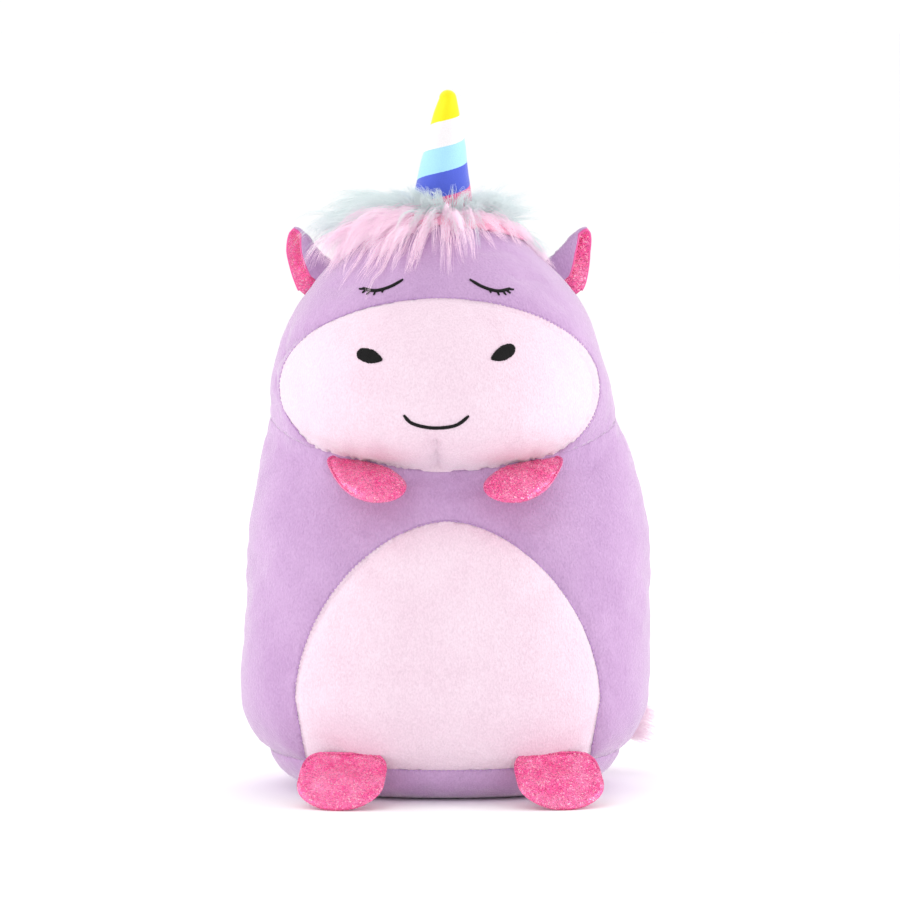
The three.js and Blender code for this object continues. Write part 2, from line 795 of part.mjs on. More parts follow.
const FOOT = {
  length: FOOT_LENGTH,
  thickness: FOOT_THICKNESS,
  rim: (angle) => {
    const across = Math.sin(angle);
    const along = Math.cos(angle);
    const power = along > 0 ? 2 / FOOT_ROOT_SQUARENESS : 1;
    return [
      -(FOOT_WIDTH / 2) * Math.sign(across) * Math.abs(across) ** power,
      (FOOT_LENGTH / 2) * (1 - Math.sign(along) * Math.abs(along) ** power),
    ];
  },
  fullness: (along) => THREE.MathUtils.lerp(FOOT_ROOT_FULLNESS, 1, Math.min(2 * along, 1)),
};

// Level direction out of the torso's front at x.
function outwardAt(section, x) {
  const across = Math.sign(x) * (Math.abs(x) / section.half) ** (SQUARENESS - 1) / section.half;
  const along = depthAt(section.half, section.front, x) / section.front;
  return new THREE.Vector3(across, -(along ** (SQUARENESS - 1)) / section.front, 0).normalize();
}

function footPlace({ sign }) {
  const x = FEET_SHIFT + (sign * FOOT_SPREAD) / 2;
  const pitch = degrees(FOOT_PITCH);
  const up = new THREE.Vector3(0, 0, 1);
  const aim = (z) => {
    const section = sectionAt(TORSO, z);
    const outward = outwardAt(section, x);
    const y = -depthAt(section.half, section.front, x);
    const root = new THREE.Vector3(x, y, z).addScaledVector(outward, FOOT_CLEARANCE);
    const level = new THREE.Vector3(0, -1, 0).lerp(outward, FOOT_SPLAY).normalize();
    const direction = level.multiplyScalar(Math.cos(pitch)).addScaledVector(up, -Math.sin(pitch));
    return aimedGroup(root, direction, up);
  };
  // The foot's lowest point rests just over the floor, whatever its size.
  const trial = aim(BASE_SEAM_HEIGHT);
  trial.add(new THREE.Mesh(toGeometry(pouchSolid(FOOT, 0))));
  trial.updateMatrixWorld(true);
  const lowest = new THREE.Box3().setFromObject(trial, true).min.z;
  return aim(BASE_SEAM_HEIGHT + FLOOR_CLEARANCE - lowest);
}

// ---------------------------------------------------------------- tail

function tailSolid() {
  const back = sectionAt(TORSO, TAIL_ROOT_HEIGHT).back + TAIL_STANDOFF;
  const side = sectionAt(TORSO, TAIL_TIP_HEIGHT).half + TAIL_TIP_STANDOFF;
  const curve = new THREE.QuadraticBezierCurve3(
    new THREE.Vector3(TAIL_ROOT_X, back, TAIL_ROOT_HEIGHT),
    new THREE.Vector3(0.6 * side, back, (TAIL_ROOT_HEIGHT + TAIL_TIP_HEIGHT) / 2),
    new THREE.Vector3(side, TAIL_TIP_DEPTH_SHARE * back, TAIL_TIP_HEIGHT),
  );
  const steps = 9;
  const segments = 10;
  const up = new THREE.Vector3(0, 0, 1);
  const loops = [];
  for (let i = 0; i <= steps; i += 1) {
    const share = i / steps;
    const centre = curve.getPoint(share);
    const across = new THREE.Vector3().crossVectors(curve.getTangent(share), up).normalize();
    const fullness = 0.6 + 0.4 * Math.sin(Math.PI * (0.1 + 0.75 * share));
    const loop = [];
    for (let j = 0; j < segments; j += 1) {
      const angle = (j / segments) * 2 * Math.PI;
      loop.push(centre.clone()
        .addScaledVector(up, TAIL_HALF_WIDTH * fullness * Math.cos(angle))
        .addScaledVector(across, TAIL_HALF_THICKNESS * fullness * Math.sin(angle)));
    }
    loops.push(loop);
  }
  return toSolid(loopsGeometry(loops, curve.getPoint(0), curve.getPoint(1)));
}

// ---------------------------------------------------------------- assembly

function material(name) {
  const sparkle = name === 'glitter';
  return new THREE.MeshStandardMaterial({
    color: COLOURS[name],
    roughness: sparkle ? 0.4 : 0.95,
    metalness: sparkle ? 0.3 : 0,
  });
}

function addPieces(parent, solids, materialName) {
  for (const [name, manifold] of Object.entries(solids)) {
    const colour = typeof materialName === 'string' ? materialName : materialName(name);
    const mesh = new THREE.Mesh(toGeometry(manifold), material(colour));
    mesh.name = name;
    parent.add(mesh);
  }
}

const toy = new THREE.Group();
const patchColour = (name) => (/muzzle|belly/.test(name) ? 'blush' : 'lilac');
addPieces(toy, torsoPanels(), patchColour);
addPieces(toy, facePanels(), patchColour);
addPieces(toy, backPanels(), 'lilac');
addPieces(toy, fillings(), 'filling');
addPieces(toy, embroidery(), 'thread');
addPieces(toy, maneStrips(), (name) => (name === 'forelock_strip' ? 'rose' : 'mint'));
addPieces(toy, { tail_strip: tailSolid() }, 'tail');

const horn = new THREE.Group();
horn.position.z = CROWN_Z + HORN_STAND;
horn.rotation.y = degrees(HORN_LEAN);
addPieces(horn, hornPieces(), (name) => (name === 'horn_cover' ? 'horn' : 'filling'));
toy.add(horn);

const pouchColour = (name) => (/filling/.test(name) ? 'filling' : 'glitter');
for (const side of SIDES) {
  const ear = earPlace(side);
  addPieces(ear, earPieces(side), (name) => (/inner/.test(name) ? 'glitter' : 'lilac'));
  const arm = armPlace(side);
  const armName = `arm_${side.name}`;
  const armPieces = pouchPieces(ARM, `${armName}_upper`, `${armName}_under`, `${armName}_filling`);
  addPieces(arm, armPieces, pouchColour);
  const foot = footPlace(side);
  const footName = `foot_${side.name}`;
  const footPieces = pouchPieces(FOOT, `${footName}_top`, `${footName}_sole`, `${footName}_filling`);
  addPieces(foot, footPieces, pouchColour);
  toy.add(ear, arm, foot);
}

export default toy;
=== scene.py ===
"""Plush unicorn: its fabric, fur and thread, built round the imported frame."""

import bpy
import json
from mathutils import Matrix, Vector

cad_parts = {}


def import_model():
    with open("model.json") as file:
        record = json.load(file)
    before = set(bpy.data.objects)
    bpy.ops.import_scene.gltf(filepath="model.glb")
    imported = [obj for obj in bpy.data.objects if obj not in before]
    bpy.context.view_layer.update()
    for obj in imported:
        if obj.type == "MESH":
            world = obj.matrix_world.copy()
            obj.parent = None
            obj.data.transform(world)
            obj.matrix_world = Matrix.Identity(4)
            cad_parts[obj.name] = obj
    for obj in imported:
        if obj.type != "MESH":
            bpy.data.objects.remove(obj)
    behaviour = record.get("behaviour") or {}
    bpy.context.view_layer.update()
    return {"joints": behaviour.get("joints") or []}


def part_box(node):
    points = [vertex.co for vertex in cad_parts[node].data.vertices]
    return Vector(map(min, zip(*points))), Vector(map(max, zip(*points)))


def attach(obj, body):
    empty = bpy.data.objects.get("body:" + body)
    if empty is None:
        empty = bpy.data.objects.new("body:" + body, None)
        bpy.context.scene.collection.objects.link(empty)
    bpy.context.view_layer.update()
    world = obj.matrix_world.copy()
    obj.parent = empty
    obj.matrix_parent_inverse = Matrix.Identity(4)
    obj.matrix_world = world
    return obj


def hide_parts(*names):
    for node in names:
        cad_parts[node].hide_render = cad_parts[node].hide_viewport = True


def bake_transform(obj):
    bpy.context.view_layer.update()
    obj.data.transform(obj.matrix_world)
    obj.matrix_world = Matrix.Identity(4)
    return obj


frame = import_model()

import json
import math

import bmesh
import bpy
import numpy as np
from mathutils import Vector, noise
from mathutils.bvhtree import BVHTree
from mathutils.kdtree import KDTree

MM = 0.001
RNG = np.random.default_rng(7)
JOINTS = {joint["name"]: joint for joint in frame["joints"]}

# ------------------------------------------------------------ sizes, in millimetres

# Each station: share of the height, then shares of the width, front and back.
TORSO_STATIONS = [
    [0.0, 0.6, 0.61, 0.64],
    [0.024, 0.735, 0.75, 0.77],
    [0.106, 0.875, 0.88, 0.89],
    [0.21, 0.98, 0.965, 0.98],
    [0.3, 1.0, 1.0, 1.0],
    [0.48, 0.99, 0.99, 0.985],
    [0.67, 0.98, 0.925, 0.94],
    [0.78, 0.955, 0.86, 0.91],
    [0.9, 0.905, 0.77, 0.87],
    [1.0, 0.85, 0.7, 0.86],
    [1.04, 0.8, 0.62, 0.8],
    [1.08, 0.62, 0.5, 0.62],
    [1.1, 0, 0, 0],
]
HEAD_STATIONS = [
    [0.0, 0, 0, 0],
    [0.014, 0.31, 0.54, 0.5],
    [0.09, 0.72, 0.82, 0.8],
    [0.145, 0.92, 0.91, 0.93],
    [0.2, 0.99, 0.97, 0.99],
    [0.31, 1.0, 1.0, 1.01],
    [0.428, 0.945, 0.975, 0.99],
    [0.524, 0.9, 0.92, 0.96],
    [0.64, 0.81, 0.81, 0.88],
    [0.766, 0.65, 0.635, 0.72],
    [0.87, 0.48, 0.46, 0.54],
    [0.955, 0.27, 0.26, 0.32],
    [1.0, 0, 0, 0],
]
SQUARENESS = 2.3
TORSO_HEIGHT = 207
TORSO_WIDTH = 234
TORSO_FRONT = 101
TORSO_BACK = 94
HEAD_HEIGHT = 151
HEAD_WIDTH = 195
HEAD_FRONT = 112
HEAD_BACK = 80
HEAD_BOTTOM = 180
CROWN_Z = HEAD_BOTTOM + HEAD_HEIGHT
BASE_SEAM_Z = 22
SIDE_SEAM_Y = 4
FACE_X = -3
MUZZLE_HALF = 90
MUZZLE_ARCH = 54
MUZZLE_DROP = 52
MUZZLE_LINE_Z = HEAD_BOTTOM + 0.338 * HEAD_HEIGHT
MUZZLE_REAR_Y = -25
BELLY_X = 1.5
BELLY_HALF = 86
BELLY_WIDE_Z = 58
BELLY_ARCH = 102
BELLY_POWER = 1.8
DART_X = -5
DART_TOP_Z = 206
STITCH_PITCH = 2.6
MANE_SPAN = (49, 37)  # half-width and half-depth of the oval round the horn
MANE_SPLIT_Y = -9
HORN_LENGTH = 63
HORN_BASE = 17  # radius
HORN_TIP = 5  # radius
HORN_LEAN = 3  # degrees, towards the toy's left
ARM_LENGTH = 54
ARM_WIDTH = 29
ARM_THICKNESS = 16
ARM_AIM = (0.62, 0.72, 0.3)  # inward, forward and down
FOOT_LENGTH = 38
FOOT_WIDTH = 49
FOOT_THICKNESS = 15
FOOT_SQUARENESS = 5
FOOT_PITCH = 42  # degrees below level
EAR_BASE = 24
EAR_HEIGHT = 24.5
EAR_LEAN = 11
EAR_LAYER = 1.2
EAR_OPENING = 9
EAR_FLAP = 0.55


# ------------------------------------------------------------ forms of the body


class Form:
    """A lofted form whose level sections are superellipses."""

    def __init__(self, stations, bottom, height, width, front, back):
        rows = np.array(stations, float)
        t = np.linspace(0, len(rows) - 1, 361)
        i = np.minimum(t.astype(int), len(rows) - 2)
        u = (t - i)[:, None]
        p0, p1, p2, p3 = (rows[np.clip(i + k, 0, len(rows) - 1)] for k in (-1, 0, 1, 2))
        square = 2 * p0 - 5 * p1 + 4 * p2 - p3
        cubic = 3 * (p1 - p2) + p3 - p0
        path = p1 + 0.5 * u * (p2 - p0 + u * (square + u * cubic))
        self.z = bottom + path[:, 0] * height
        self.half = path[:, 1] * width / 2
        self.front = path[:, 2] * front
        self.back = path[:, 3] * back

    def reach(self, p):
        """Roughly how far points lie outside the form."""
        half, front, back = (
            np.interp(p[:, 2], self.z, v) + 1e-3 for v in (self.half, self.front, self.back)
        )
        depth = np.where(p[:, 1] < 0, front, back)
        k = np.abs(p[:, 0] / half) ** SQUARENESS + np.abs(p[:, 1] / depth) ** SQUARENESS
        k = np.maximum(k, 1e-9) ** (1 / SQUARENESS)
        away = np.hypot(p[:, 0], p[:, 1]) * (1 - 1 / k)
        past = np.maximum(p[:, 2] - self.z[-1], self.z[0] - p[:, 2])
        return np.where(past > 0, 200 + past, away)

    def mesh(self, inset, segments=96):
        """Loops of points from bottom to top, shrunk by an inset, and their faces."""
        steps = np.unique(np.linspace(1, len(self.z) - 2, 70).astype(int))
        angle = 2 * np.pi * (np.arange(segments) + 0.5) / segments
        c, s = np.cos(angle), np.sin(angle)
        x = np.sign(c) * np.abs(c) ** (2 / SQUARENESS)
        y = np.sign(s) * np.abs(s) ** (2 / SQUARENESS)
        loops = []
        for i in steps:
            half, front, back = (
                max(v[i] - inset, 0.5) for v in (self.half, self.front, self.back)
            )
            z = np.clip(self.z[i], self.z[0], self.z[-1] - inset)
            loops.append(np.stack([x * half, y * np.where(y < 0, front, back), 0 * x + z], 1))
        points = np.concatenate(loops)
        count = len(loops)
        faces = []
        for i in range(count - 1):
            for j in range(segments):
                k = (j + 1) % segments
                low, high = i * segments, (i + 1) * segments
                faces.append((low + j, low + k, high + k, high + j))
        faces.append(tuple(range(segments - 1, -1, -1)))
        faces.append(tuple((count - 1) * segments + j for j in range(segments)))
        return points, faces


TORSO = Form(TORSO_STATIONS, 0, TORSO_HEIGHT, TORSO_WIDTH, TORSO_FRONT, TORSO_BACK)
HEAD = Form(HEAD_STATIONS, HEAD_BOTTOM, HEAD_HEIGHT, HEAD_WIDTH, HEAD_FRONT, HEAD_BACK)


# Fields that are zero along a seam and negative on its inner side.


def crease_field(p):
    return HEAD.reach(p) - TORSO.reach(p)


def base_z(p):
    dip = 3 * np.maximum(1 - (p[:, 0] / 95) ** 2, 0) * (p[:, 1] < 0)
    return BASE_SEAM_Z - dip


def base_field(p):
    return p[:, 2] - base_z(p)


def muzzle_field(p):
    x = np.abs(p[:, 0] - FACE_X)
    z = p[:, 2] - MUZZLE_LINE_Z
    reach = np.where(z > 0, MUZZLE_ARCH, MUZZLE_DROP)
    outline = (np.hypot(x / MUZZLE_HALF, z / reach) - 1) * MUZZLE_ARCH
    return np.maximum.reduce([outline, crease_field(p), p[:, 1] - MUZZLE_REAR_Y])


def belly_field(p):
    x = np.abs(p[:, 0] - BELLY_X)
    z = p[:, 2] - BELLY_WIDE_Z
    q = BELLY_POWER
    arch = (x / BELLY_HALF) ** q + (np.maximum(z, 0) / BELLY_ARCH) ** q
    arch = (np.maximum(arch, 1e-9) ** (1 / q) - 1) * BELLY_HALF
    foot = BELLY_HALF - 6 * np.maximum(-z, 0) / (BELLY_WIDE_Z - BASE_SEAM_Z)
    outline = np.where(z > 0, arch, x - foot)
    return np.maximum.reduce([outline, -crease_field(p), -base_field(p), p[:, 1] + 5])


def side_field(p):
    return p[:, 1] - SIDE_SEAM_Y


def middle_field(p):
    return p[:, 0]


def dart_field(p):
    return p[:, 0] - DART_X


def dart_zone(p):
    return (p[:, 1] < -60) & (p[:, 2] < DART_TOP_Z) & (crease_field(p) < 1)


def before(y):
    return lambda p: p[:, 1] < y


SEAMS = [
    # field, where it runs, depth of the groove
    (base_field, lambda p: p[:, 2] < 40, 1.2),
    (side_field, lambda p: (p[:, 2] > 10) & (p[:, 2] < CROWN_Z - 3), 1.0),
    (middle_field, lambda p: (p[:, 1] > 20) & (p[:, 2] > 10), 1.1),
    (crease_field, before(SIDE_SEAM_Y), 0.4),
    (muzzle_field, before(MUZZLE_REAR_Y - 1), 1.3),
    (belly_field, before(-6), 1.2),
    (dart_field, dart_zone, 2.6),
]


# ------------------------------------------------------------ mesh helpers


def points_of(mesh):
    flat = np.empty(len(mesh.vertices) * 3)
    mesh.vertices.foreach_get("co", flat)
    return flat.reshape(-1, 3) / MM


def set_points(mesh, points):
    mesh.vertices.foreach_set("co", (points * MM).ravel())
    mesh.update()


def edges_of(mesh):
    flat = np.empty(len(mesh.edges) * 2, int)
    mesh.edges.foreach_get("vertices", flat)
    return flat.reshape(-1, 2)


def normals_of(mesh):
    flat = np.empty(len(mesh.vertices) * 3)
    mesh.vertex_normals.foreach_get("vector", flat)
    return flat.reshape(-1, 3)


def add_object(name, mesh, material=None, body=None):
    obj = bpy.data.objects.new(name, mesh)
    bpy.context.scene.collection.objects.link(obj)
    if material:
        mesh.materials.append(material)
    if body:
        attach(obj, body)
    return obj


def list_mesh(name, points, faces):
    mesh = bpy.data.meshes.new(name)
    mesh.from_pydata((np.asarray(points, float) * MM).tolist(), [], faces)
    mesh.polygons.foreach_set("use_smooth", [True] * len(mesh.polygons))
    mesh.update()
    return mesh


def triangle_mesh(name, points, triangles):
    """Mesh from arrays, quick enough for fur."""
    mesh = bpy.data.meshes.new(name)
    count = len(triangles)
    mesh.vertices.add(len(points))
    mesh.vertices.foreach_set("co", (points * MM).astype(np.float32).ravel())
    mesh.loops.add(3 * count)
    mesh.loops.foreach_set("vertex_index", triangles.astype(np.int32).ravel())
    mesh.polygons.add(count)
    mesh.polygons.foreach_set("loop_start", np.arange(0, 3 * count, 3, dtype=np.int32))
    mesh.polygons.foreach_set("use_smooth", np.ones(count, bool))
    mesh.update(calc_edges=True)
    return mesh


def float_attribute(mesh, name, values):
    attribute = mesh.attributes.new(name, "FLOAT", "POINT")
    attribute.data.foreach_set("value", np.asarray(values, np.float32).ravel())


def apply_modifiers(obj):
    graph = bpy.context.evaluated_depsgraph_get()
    mesh = bpy.data.meshes.new_from_object(obj.evaluated_get(graph))
    obj.modifiers.clear()
    old = obj.data
    obj.data = mesh
    bpy.data.meshes.remove(old)
    return obj


def thicken(obj, thickness, offset=-1, smooth=True):
    """Gives a sheet its thickness, after a round of smoothing where that is asked for."""
    if smooth:
        rounding = obj.modifiers.new("smooth", "SUBSURF")
        rounding.levels = 1
        rounding.render_levels = 1
    solid = obj.modifiers.new("thickness", "SOLIDIFY")
    solid.thickness = thickness * MM
    solid.offset = offset
    return apply_modifiers(obj)


def cut_out(name, points, faces):
    """Mesh of some faces and only the points that they use."""
    used = sorted({i for f in faces for i in f})
    order = {old: new for new, old in enumerate(used)}
    return list_mesh(name, points[used], [[order[i] for i in f] for f in faces])


def relax(points, edges, weight, rounds):
    """Moves each point part of the way to the mean of its neighbours."""
    count = np.zeros(len(points))
    np.add.at(count, edges[:, 0], 1)
    np.add.at(count, edges[:, 1], 1)
    for _ in range(rounds):
        total = np.zeros_like(points)
        np.add.at(total, edges[:, 0], points[edges[:, 1]])
        np.add.at(total, edges[:, 1], points[edges[:, 0]])
        mean = total / np.maximum(count, 1)[:, None]
        points = points + weight[:, None] * (mean - points)
    return points


def noise_at(points, size, seed=0.0):
    """Smooth noise from -1 to 1 with bumps of about that size, in millimetres."""
    shift = Vector((seed, 2.3 * seed, -1.7 * seed))
    return np.array([noise.noise(Vector(p) / size + shift) for p in points])


def unit(vectors):
    return vectors / np.maximum(np.linalg.norm(vectors, axis=-1, keepdims=True), 1e-9)


def tubes(paths, radii, sides):
    """Closed tubes along (n, k, 3) paths: points and triangles."""
    n, k, _ = paths.shape
    along = unit(np.gradient(paths, axis=1))
    guide = unit(RNG.normal(size=(n, 1, 3)))
    across = unit(np.cross(along, guide))
    up = np.cross(across, along)
    angle = 2 * np.pi * np.arange(sides) / sides
    ring = (
        across[:, :, None] * np.cos(angle)[:, None] + up[:, :, None] * np.sin(angle)[:, None]
    )
    points = (paths[:, :, None] + ring * radii[:, :, None, None]).reshape(-1, 3)
    start = (np.arange(n) * k * sides)[:, None, None]
    level = (np.arange(k - 1) * sides)[None, :, None]
    j = np.arange(sides)[None, None, :]
    j2 = (j + 1) % sides
    a, b = start + level + j, start + level + j2
    walls = np.concatenate(
        [np.stack([a, b, b + sides], -1), np.stack([a, b + sides, a + sides], -1)]
    ).reshape(-1, 3)
    fan = np.arange(1, sides - 1)
    low = np.stack([0 * fan, fan + 1, fan], 1)
    high = (k - 1) * sides + np.stack([0 * fan, fan, fan + 1], 1)
    caps = (start + np.concatenate([low, high])[None]).reshape(-1, 3)
    return points, np.concatenate([walls, caps])


# ------------------------------------------------------------ materials


class Shader:
    """A Principled material and short ways to add nodes to it."""

    def __init__(self, name, roughness, sheen=0.0, sheen_roughness=0.4, tint=(1, 1, 1)):
        self.material = bpy.data.materials.new(name)
        self.material.use_nodes = True
        self.tree = self.material.node_tree
        self.shader = self.tree.nodes["Principled BSDF"]
        self.set("Roughness", roughness)
        self.set("Sheen Weight", sheen)
        self.set("Sheen Roughness", sheen_roughness)
        self.set("Sheen Tint", (*tint, 1))
        self.place = self.node("ShaderNodeTexCoord").outputs["Object"]

    def set(self, socket, value):
        self.shader.inputs[socket].default_value = value

    def node(self, kind, **values):
        made = self.tree.nodes.new(kind)
        for name, value in values.items():
            setattr(made, name, value)
        return made

    def link(self, output, target):
        if isinstance(target, str):
            target = self.shader.inputs[target]
        self.tree.links.new(output, target)

    def noise(self, size, detail=3.0, stretch=(1, 1, 1), distortion=0.0):
        """Noise with bumps of about that size in millimetres."""
        mapping = self.node("ShaderNodeMapping")
        mapping.inputs["Scale"].default_value = [s / (size * MM) for s in stretch]
        self.link(self.place, mapping.inputs["Vector"])
        made = self.node("ShaderNodeTexNoise")
        made.inputs["Scale"].default_value = 1.0
        made.inputs["Detail"].default_value = detail
        made.inputs["Distortion"].default_value = distortion
        self.link(mapping.outputs["Vector"], made.inputs["Vector"])
        return made.outputs["Fac"]

    def cells(self, size, feature="F1"):
        made = self.node("ShaderNodeTexVoronoi", feature=feature)
        made.inputs["Scale"].default_value = 1 / (size * MM)
        self.link(self.place, made.inputs["Vector"])
        return made

    def ramp(self, value, stops, interpolation="LINEAR"):
        made = self.node("ShaderNodeValToRGB")
        ramp = made.color_ramp
        ramp.interpolation = interpolation
        while len(ramp.elements) < len(stops):
            ramp.elements.new(0.5)
        for element, (position, colour) in zip(ramp.elements, stops):
            element.position = position
            element.color = (*colour, 1)
        self.link(value, made.inputs["Fac"])
        return made.outputs["Color"]

    def mix(self, factor, first, second, blend="MIX"):
        made = self.node("ShaderNodeMix", data_type="RGBA", blend_type=blend)
        for socket, value in ((0, factor), (6, first), (7, second)):
            if isinstance(value, bpy.types.NodeSocket):
                self.link(value, made.inputs[socket])
            elif socket == 0:
                made.inputs[0].default_value = value
            else:
                made.inputs[socket].default_value = (*value, 1)
        return made.outputs[2]

    def attribute(self, name):
        return self.node("ShaderNodeAttribute", attribute_name=name).outputs["Fac"]

    def spread(self, value, to, start=(0.0, 1.0)):
        """Maps a value from one range on to another."""
        made = self.node("ShaderNodeMapRange")
        made.inputs["From Min"].default_value, made.inputs["From Max"].default_value = start
        made.inputs["To Min"].default_value, made.inputs["To Max"].default_value = to
        self.link(value, made.inputs["Value"])
        return made.outputs["Result"]

    def bump(self, height, strength, distance, normal=None):
        made = self.node("ShaderNodeBump")
        made.inputs["Strength"].default_value = strength
        made.inputs["Distance"].default_value = distance * MM
        self.link(height, made.inputs["Height"])
        if normal:
            self.link(normal, made.inputs["Normal"])
        return made.outputs["Normal"]


def tone(hex_colour):
    """Linear colour from a hexadecimal one."""
    parts = [(hex_colour >> shift & 255) / 255 for shift in (16, 8, 0)]
    return tuple(c / 12.92 if c < 0.04045 else ((c + 0.055) / 1.055) ** 2.4 for c in parts)


def velour(name, light, dark, sheen_tint):
    """Short cut pile: brushed patches, streaks along the nap and fine fibre grain."""
    s = Shader(name, 0.92, sheen=1.0, sheen_roughness=0.34, tint=sheen_tint)
    s.set("Specular IOR Level", 0.15)
    patches = s.ramp(s.noise(34, 4, distortion=0.6), [(0.3, dark), (0.7, light)])
    streaks = s.noise(3.2, 4, stretch=(1.6, 1.6, 0.45))
    brushed = s.mix(0.30, patches, s.ramp(streaks, [(0.3, dark), (0.7, light)]))
    fibres = s.noise(0.95, 3, stretch=(1, 1, 0.6))
    grain = s.ramp(fibres, [(0.32, tuple(0.74 * c for c in dark)), (0.68, light)])
    s.link(s.mix(0.36, brushed, grain), "Base Color")
    pile = s.bump(fibres, 0.8, 0.7)
    s.link(s.bump(streaks, 0.25, 0.7, pile), "Normal")
    s.link(s.spread(streaks, (0.8, 1.0)), "Roughness")
    return s.material


def glitter(name, light, mid, dark):
    """Film-coated fabric: tiny facets that each face their own way, with painted glints and painted
    iridescence in their colour.
    """
    s = Shader(name, 0.3, sheen=0.1)
    s.set("Coat Weight", 0.25)
    s.set("Coat Roughness", 0.25)
    flakes = s.cells(0.55)
    tint = s.node("ShaderNodeSeparateColor")
    s.link(flakes.outputs["Color"], tint.inputs["Color"])
    # Flakes of dark, mid and light pink and near white; the light and near-white ones are partly
    # pale flakes and partly painted glints.
    stops = [(0.0, dark), (0.3, mid), (0.74, mid), (0.9, light), (0.97, (1.0, 0.86, 0.84))]
    specks_and_glints = s.ramp(tint.outputs["Red"], stops, "CONSTANT")
    # Painted iridescence: some flakes tinted violet and orange, standing in for the film's rainbow
    # reflections.
    violet, orange = (0.75, 0.25, 0.85), (1.0, 0.6, 0.25)
    painted_iridescence_stops = [(0, mid), (0.85, mid), (0.93, violet), (1, orange)]
    painted_iridescence = s.ramp(tint.outputs["Green"], painted_iridescence_stops)
    # Lighter patches at random over the film.
    lighter_patches = s.ramp(s.noise(9, 3), [(0.35, mid), (0.65, light)])
    colour = s.mix(0.22, s.mix(0.3, specks_and_glints, painted_iridescence), lighter_patches)
    s.link(colour, "Base Color")
    s.link(s.spread(tint.outputs["Blue"], (0.15, 0.85), start=(0.35, 0.9)), "Metallic")
    s.link(s.spread(tint.outputs["Red"], (0.18, 0.5)), "Roughness")
    centre = s.node("ShaderNodeVectorMath", operation="SUBTRACT")
    s.link(flakes.outputs["Color"], centre.inputs[0])
    centre.inputs[1].default_value = (0.5, 0.5, 0.5)
    tilt = s.node("ShaderNodeVectorMath", operation="SCALE")
    s.link(centre.outputs[0], tilt.inputs[0])
    tilt.inputs["Scale"].default_value = 0.6
    facing = s.node("ShaderNodeNewGeometry").outputs["Normal"]
    total = s.node("ShaderNodeVectorMath", operation="ADD")
    s.link(facing, total.inputs[0])
    s.link(tilt.outputs[0], total.inputs[1])
    turned = s.node("ShaderNodeVectorMath", operation="NORMALIZE")
    s.link(total.outputs[0], turned.inputs[0])
    s.link(turned.outputs[0], "Normal")
    return s.material


def fur(name, root, light, dark, glow):
    """Fine glossy fibres, each with its own tone, paler towards the tip, with a painted glow."""
    s = Shader(name, 0.6, sheen=0.15, tint=light)
    s.set("Specular IOR Level", 0.3)
    # Painted glow: the fur emits a little light in its own pale colour.
    s.set("Emission Color", (*light, 1))
    s.set("Emission Strength", glow)  # painted glow: the fibres emit light of their own, standing in for light that scatters on from fibre to fibre
    own = s.ramp(s.attribute("tone"), [(0.0, dark), (1.0, light)])
    body = s.ramp(s.attribute("along"), [(0.0, root), (0.35, light), (1.0, light)])
    colour = s.mix(0.5, own, body)
    s.link(s.mix(0.15, colour, s.ramp(s.noise(1.5, 2), [(0.3, dark), (0.7, light)])), "Base Color")
    return s.material


def thread(name, light, dark, sheen=0.2, roughness=0.42):
    """Twisted thread."""
    s = Shader(name, roughness, sheen=sheen)
    s.set("Specular IOR Level", 0.3)
    twist = s.noise(0.22, 2)
    s.link(s.ramp(twist, [(0.3, dark), (0.7, light)]), "Base Color")
    s.link(s.bump(twist, 0.5, 0.15), "Normal")
    return s.material


def backing(name, light, dark):
    """Loosely knitted backing under the fur."""
    s = Shader(name, 0.9, sheen=0.4, tint=light)
    knit = s.noise(0.9, 2, stretch=(1, 1.6, 1))
    patches = s.ramp(s.noise(8, 3), [(0.3, dark), (0.7, light)])
    s.link(s.mix(0.3, patches, s.ramp(knit, [(0.3, dark), (0.7, light)])), "Base Color")
    s.link(s.bump(knit, 0.6, 0.5), "Normal")
    return s.material


def horn_fabric(name):
    """Printed diagonal stripes on a fine knit with a soft nap."""
    s = Shader(name, 0.85, sheen=0.4)
    edge = s.noise(1.4, 2)
    wobble = s.node("ShaderNodeMath", operation="MULTIPLY_ADD")
    s.link(edge, wobble.inputs[0])
    wobble.inputs[1].default_value = 0.006
    s.link(s.attribute("stripe"), wobble.inputs[2])
    yellow, white, sky, blue, rose = (
        tone(c) for c in (0xFFE400, 0xEEEAEC, 0xA6DCFA, 0x4C5FD0, 0xF0559C)
    )
    stops = [(0.0, rose), (0.179, blue), (0.375, sky), (0.567, white), (0.773, yellow)]
    print_colour = s.ramp(wobble.outputs[0], stops, "CONSTANT")
    nap = s.noise(0.6, 3)
    shade = s.ramp(nap, [(0.25, (0.82, 0.82, 0.84)), (0.7, (1, 1, 1))])
    s.link(s.mix(0.5, print_colour, shade, "MULTIPLY"), "Base Color")
    s.link(s.bump(nap, 0.5, 0.4), "Normal")
    return s.material


LILAC = velour("lilac_velour", tone(0xCBA8D0), tone(0xB993C0), (1.0, 0.93, 1.0))
BLUSH = velour("blush_velour", tone(0xF2DCE9), tone(0xE9CDDD), (1.0, 0.97, 0.99))
GLITTER = glitter("glitter_fabric", tone(0xFFBCD6), tone(0xF04B93), tone(0xC4216C))
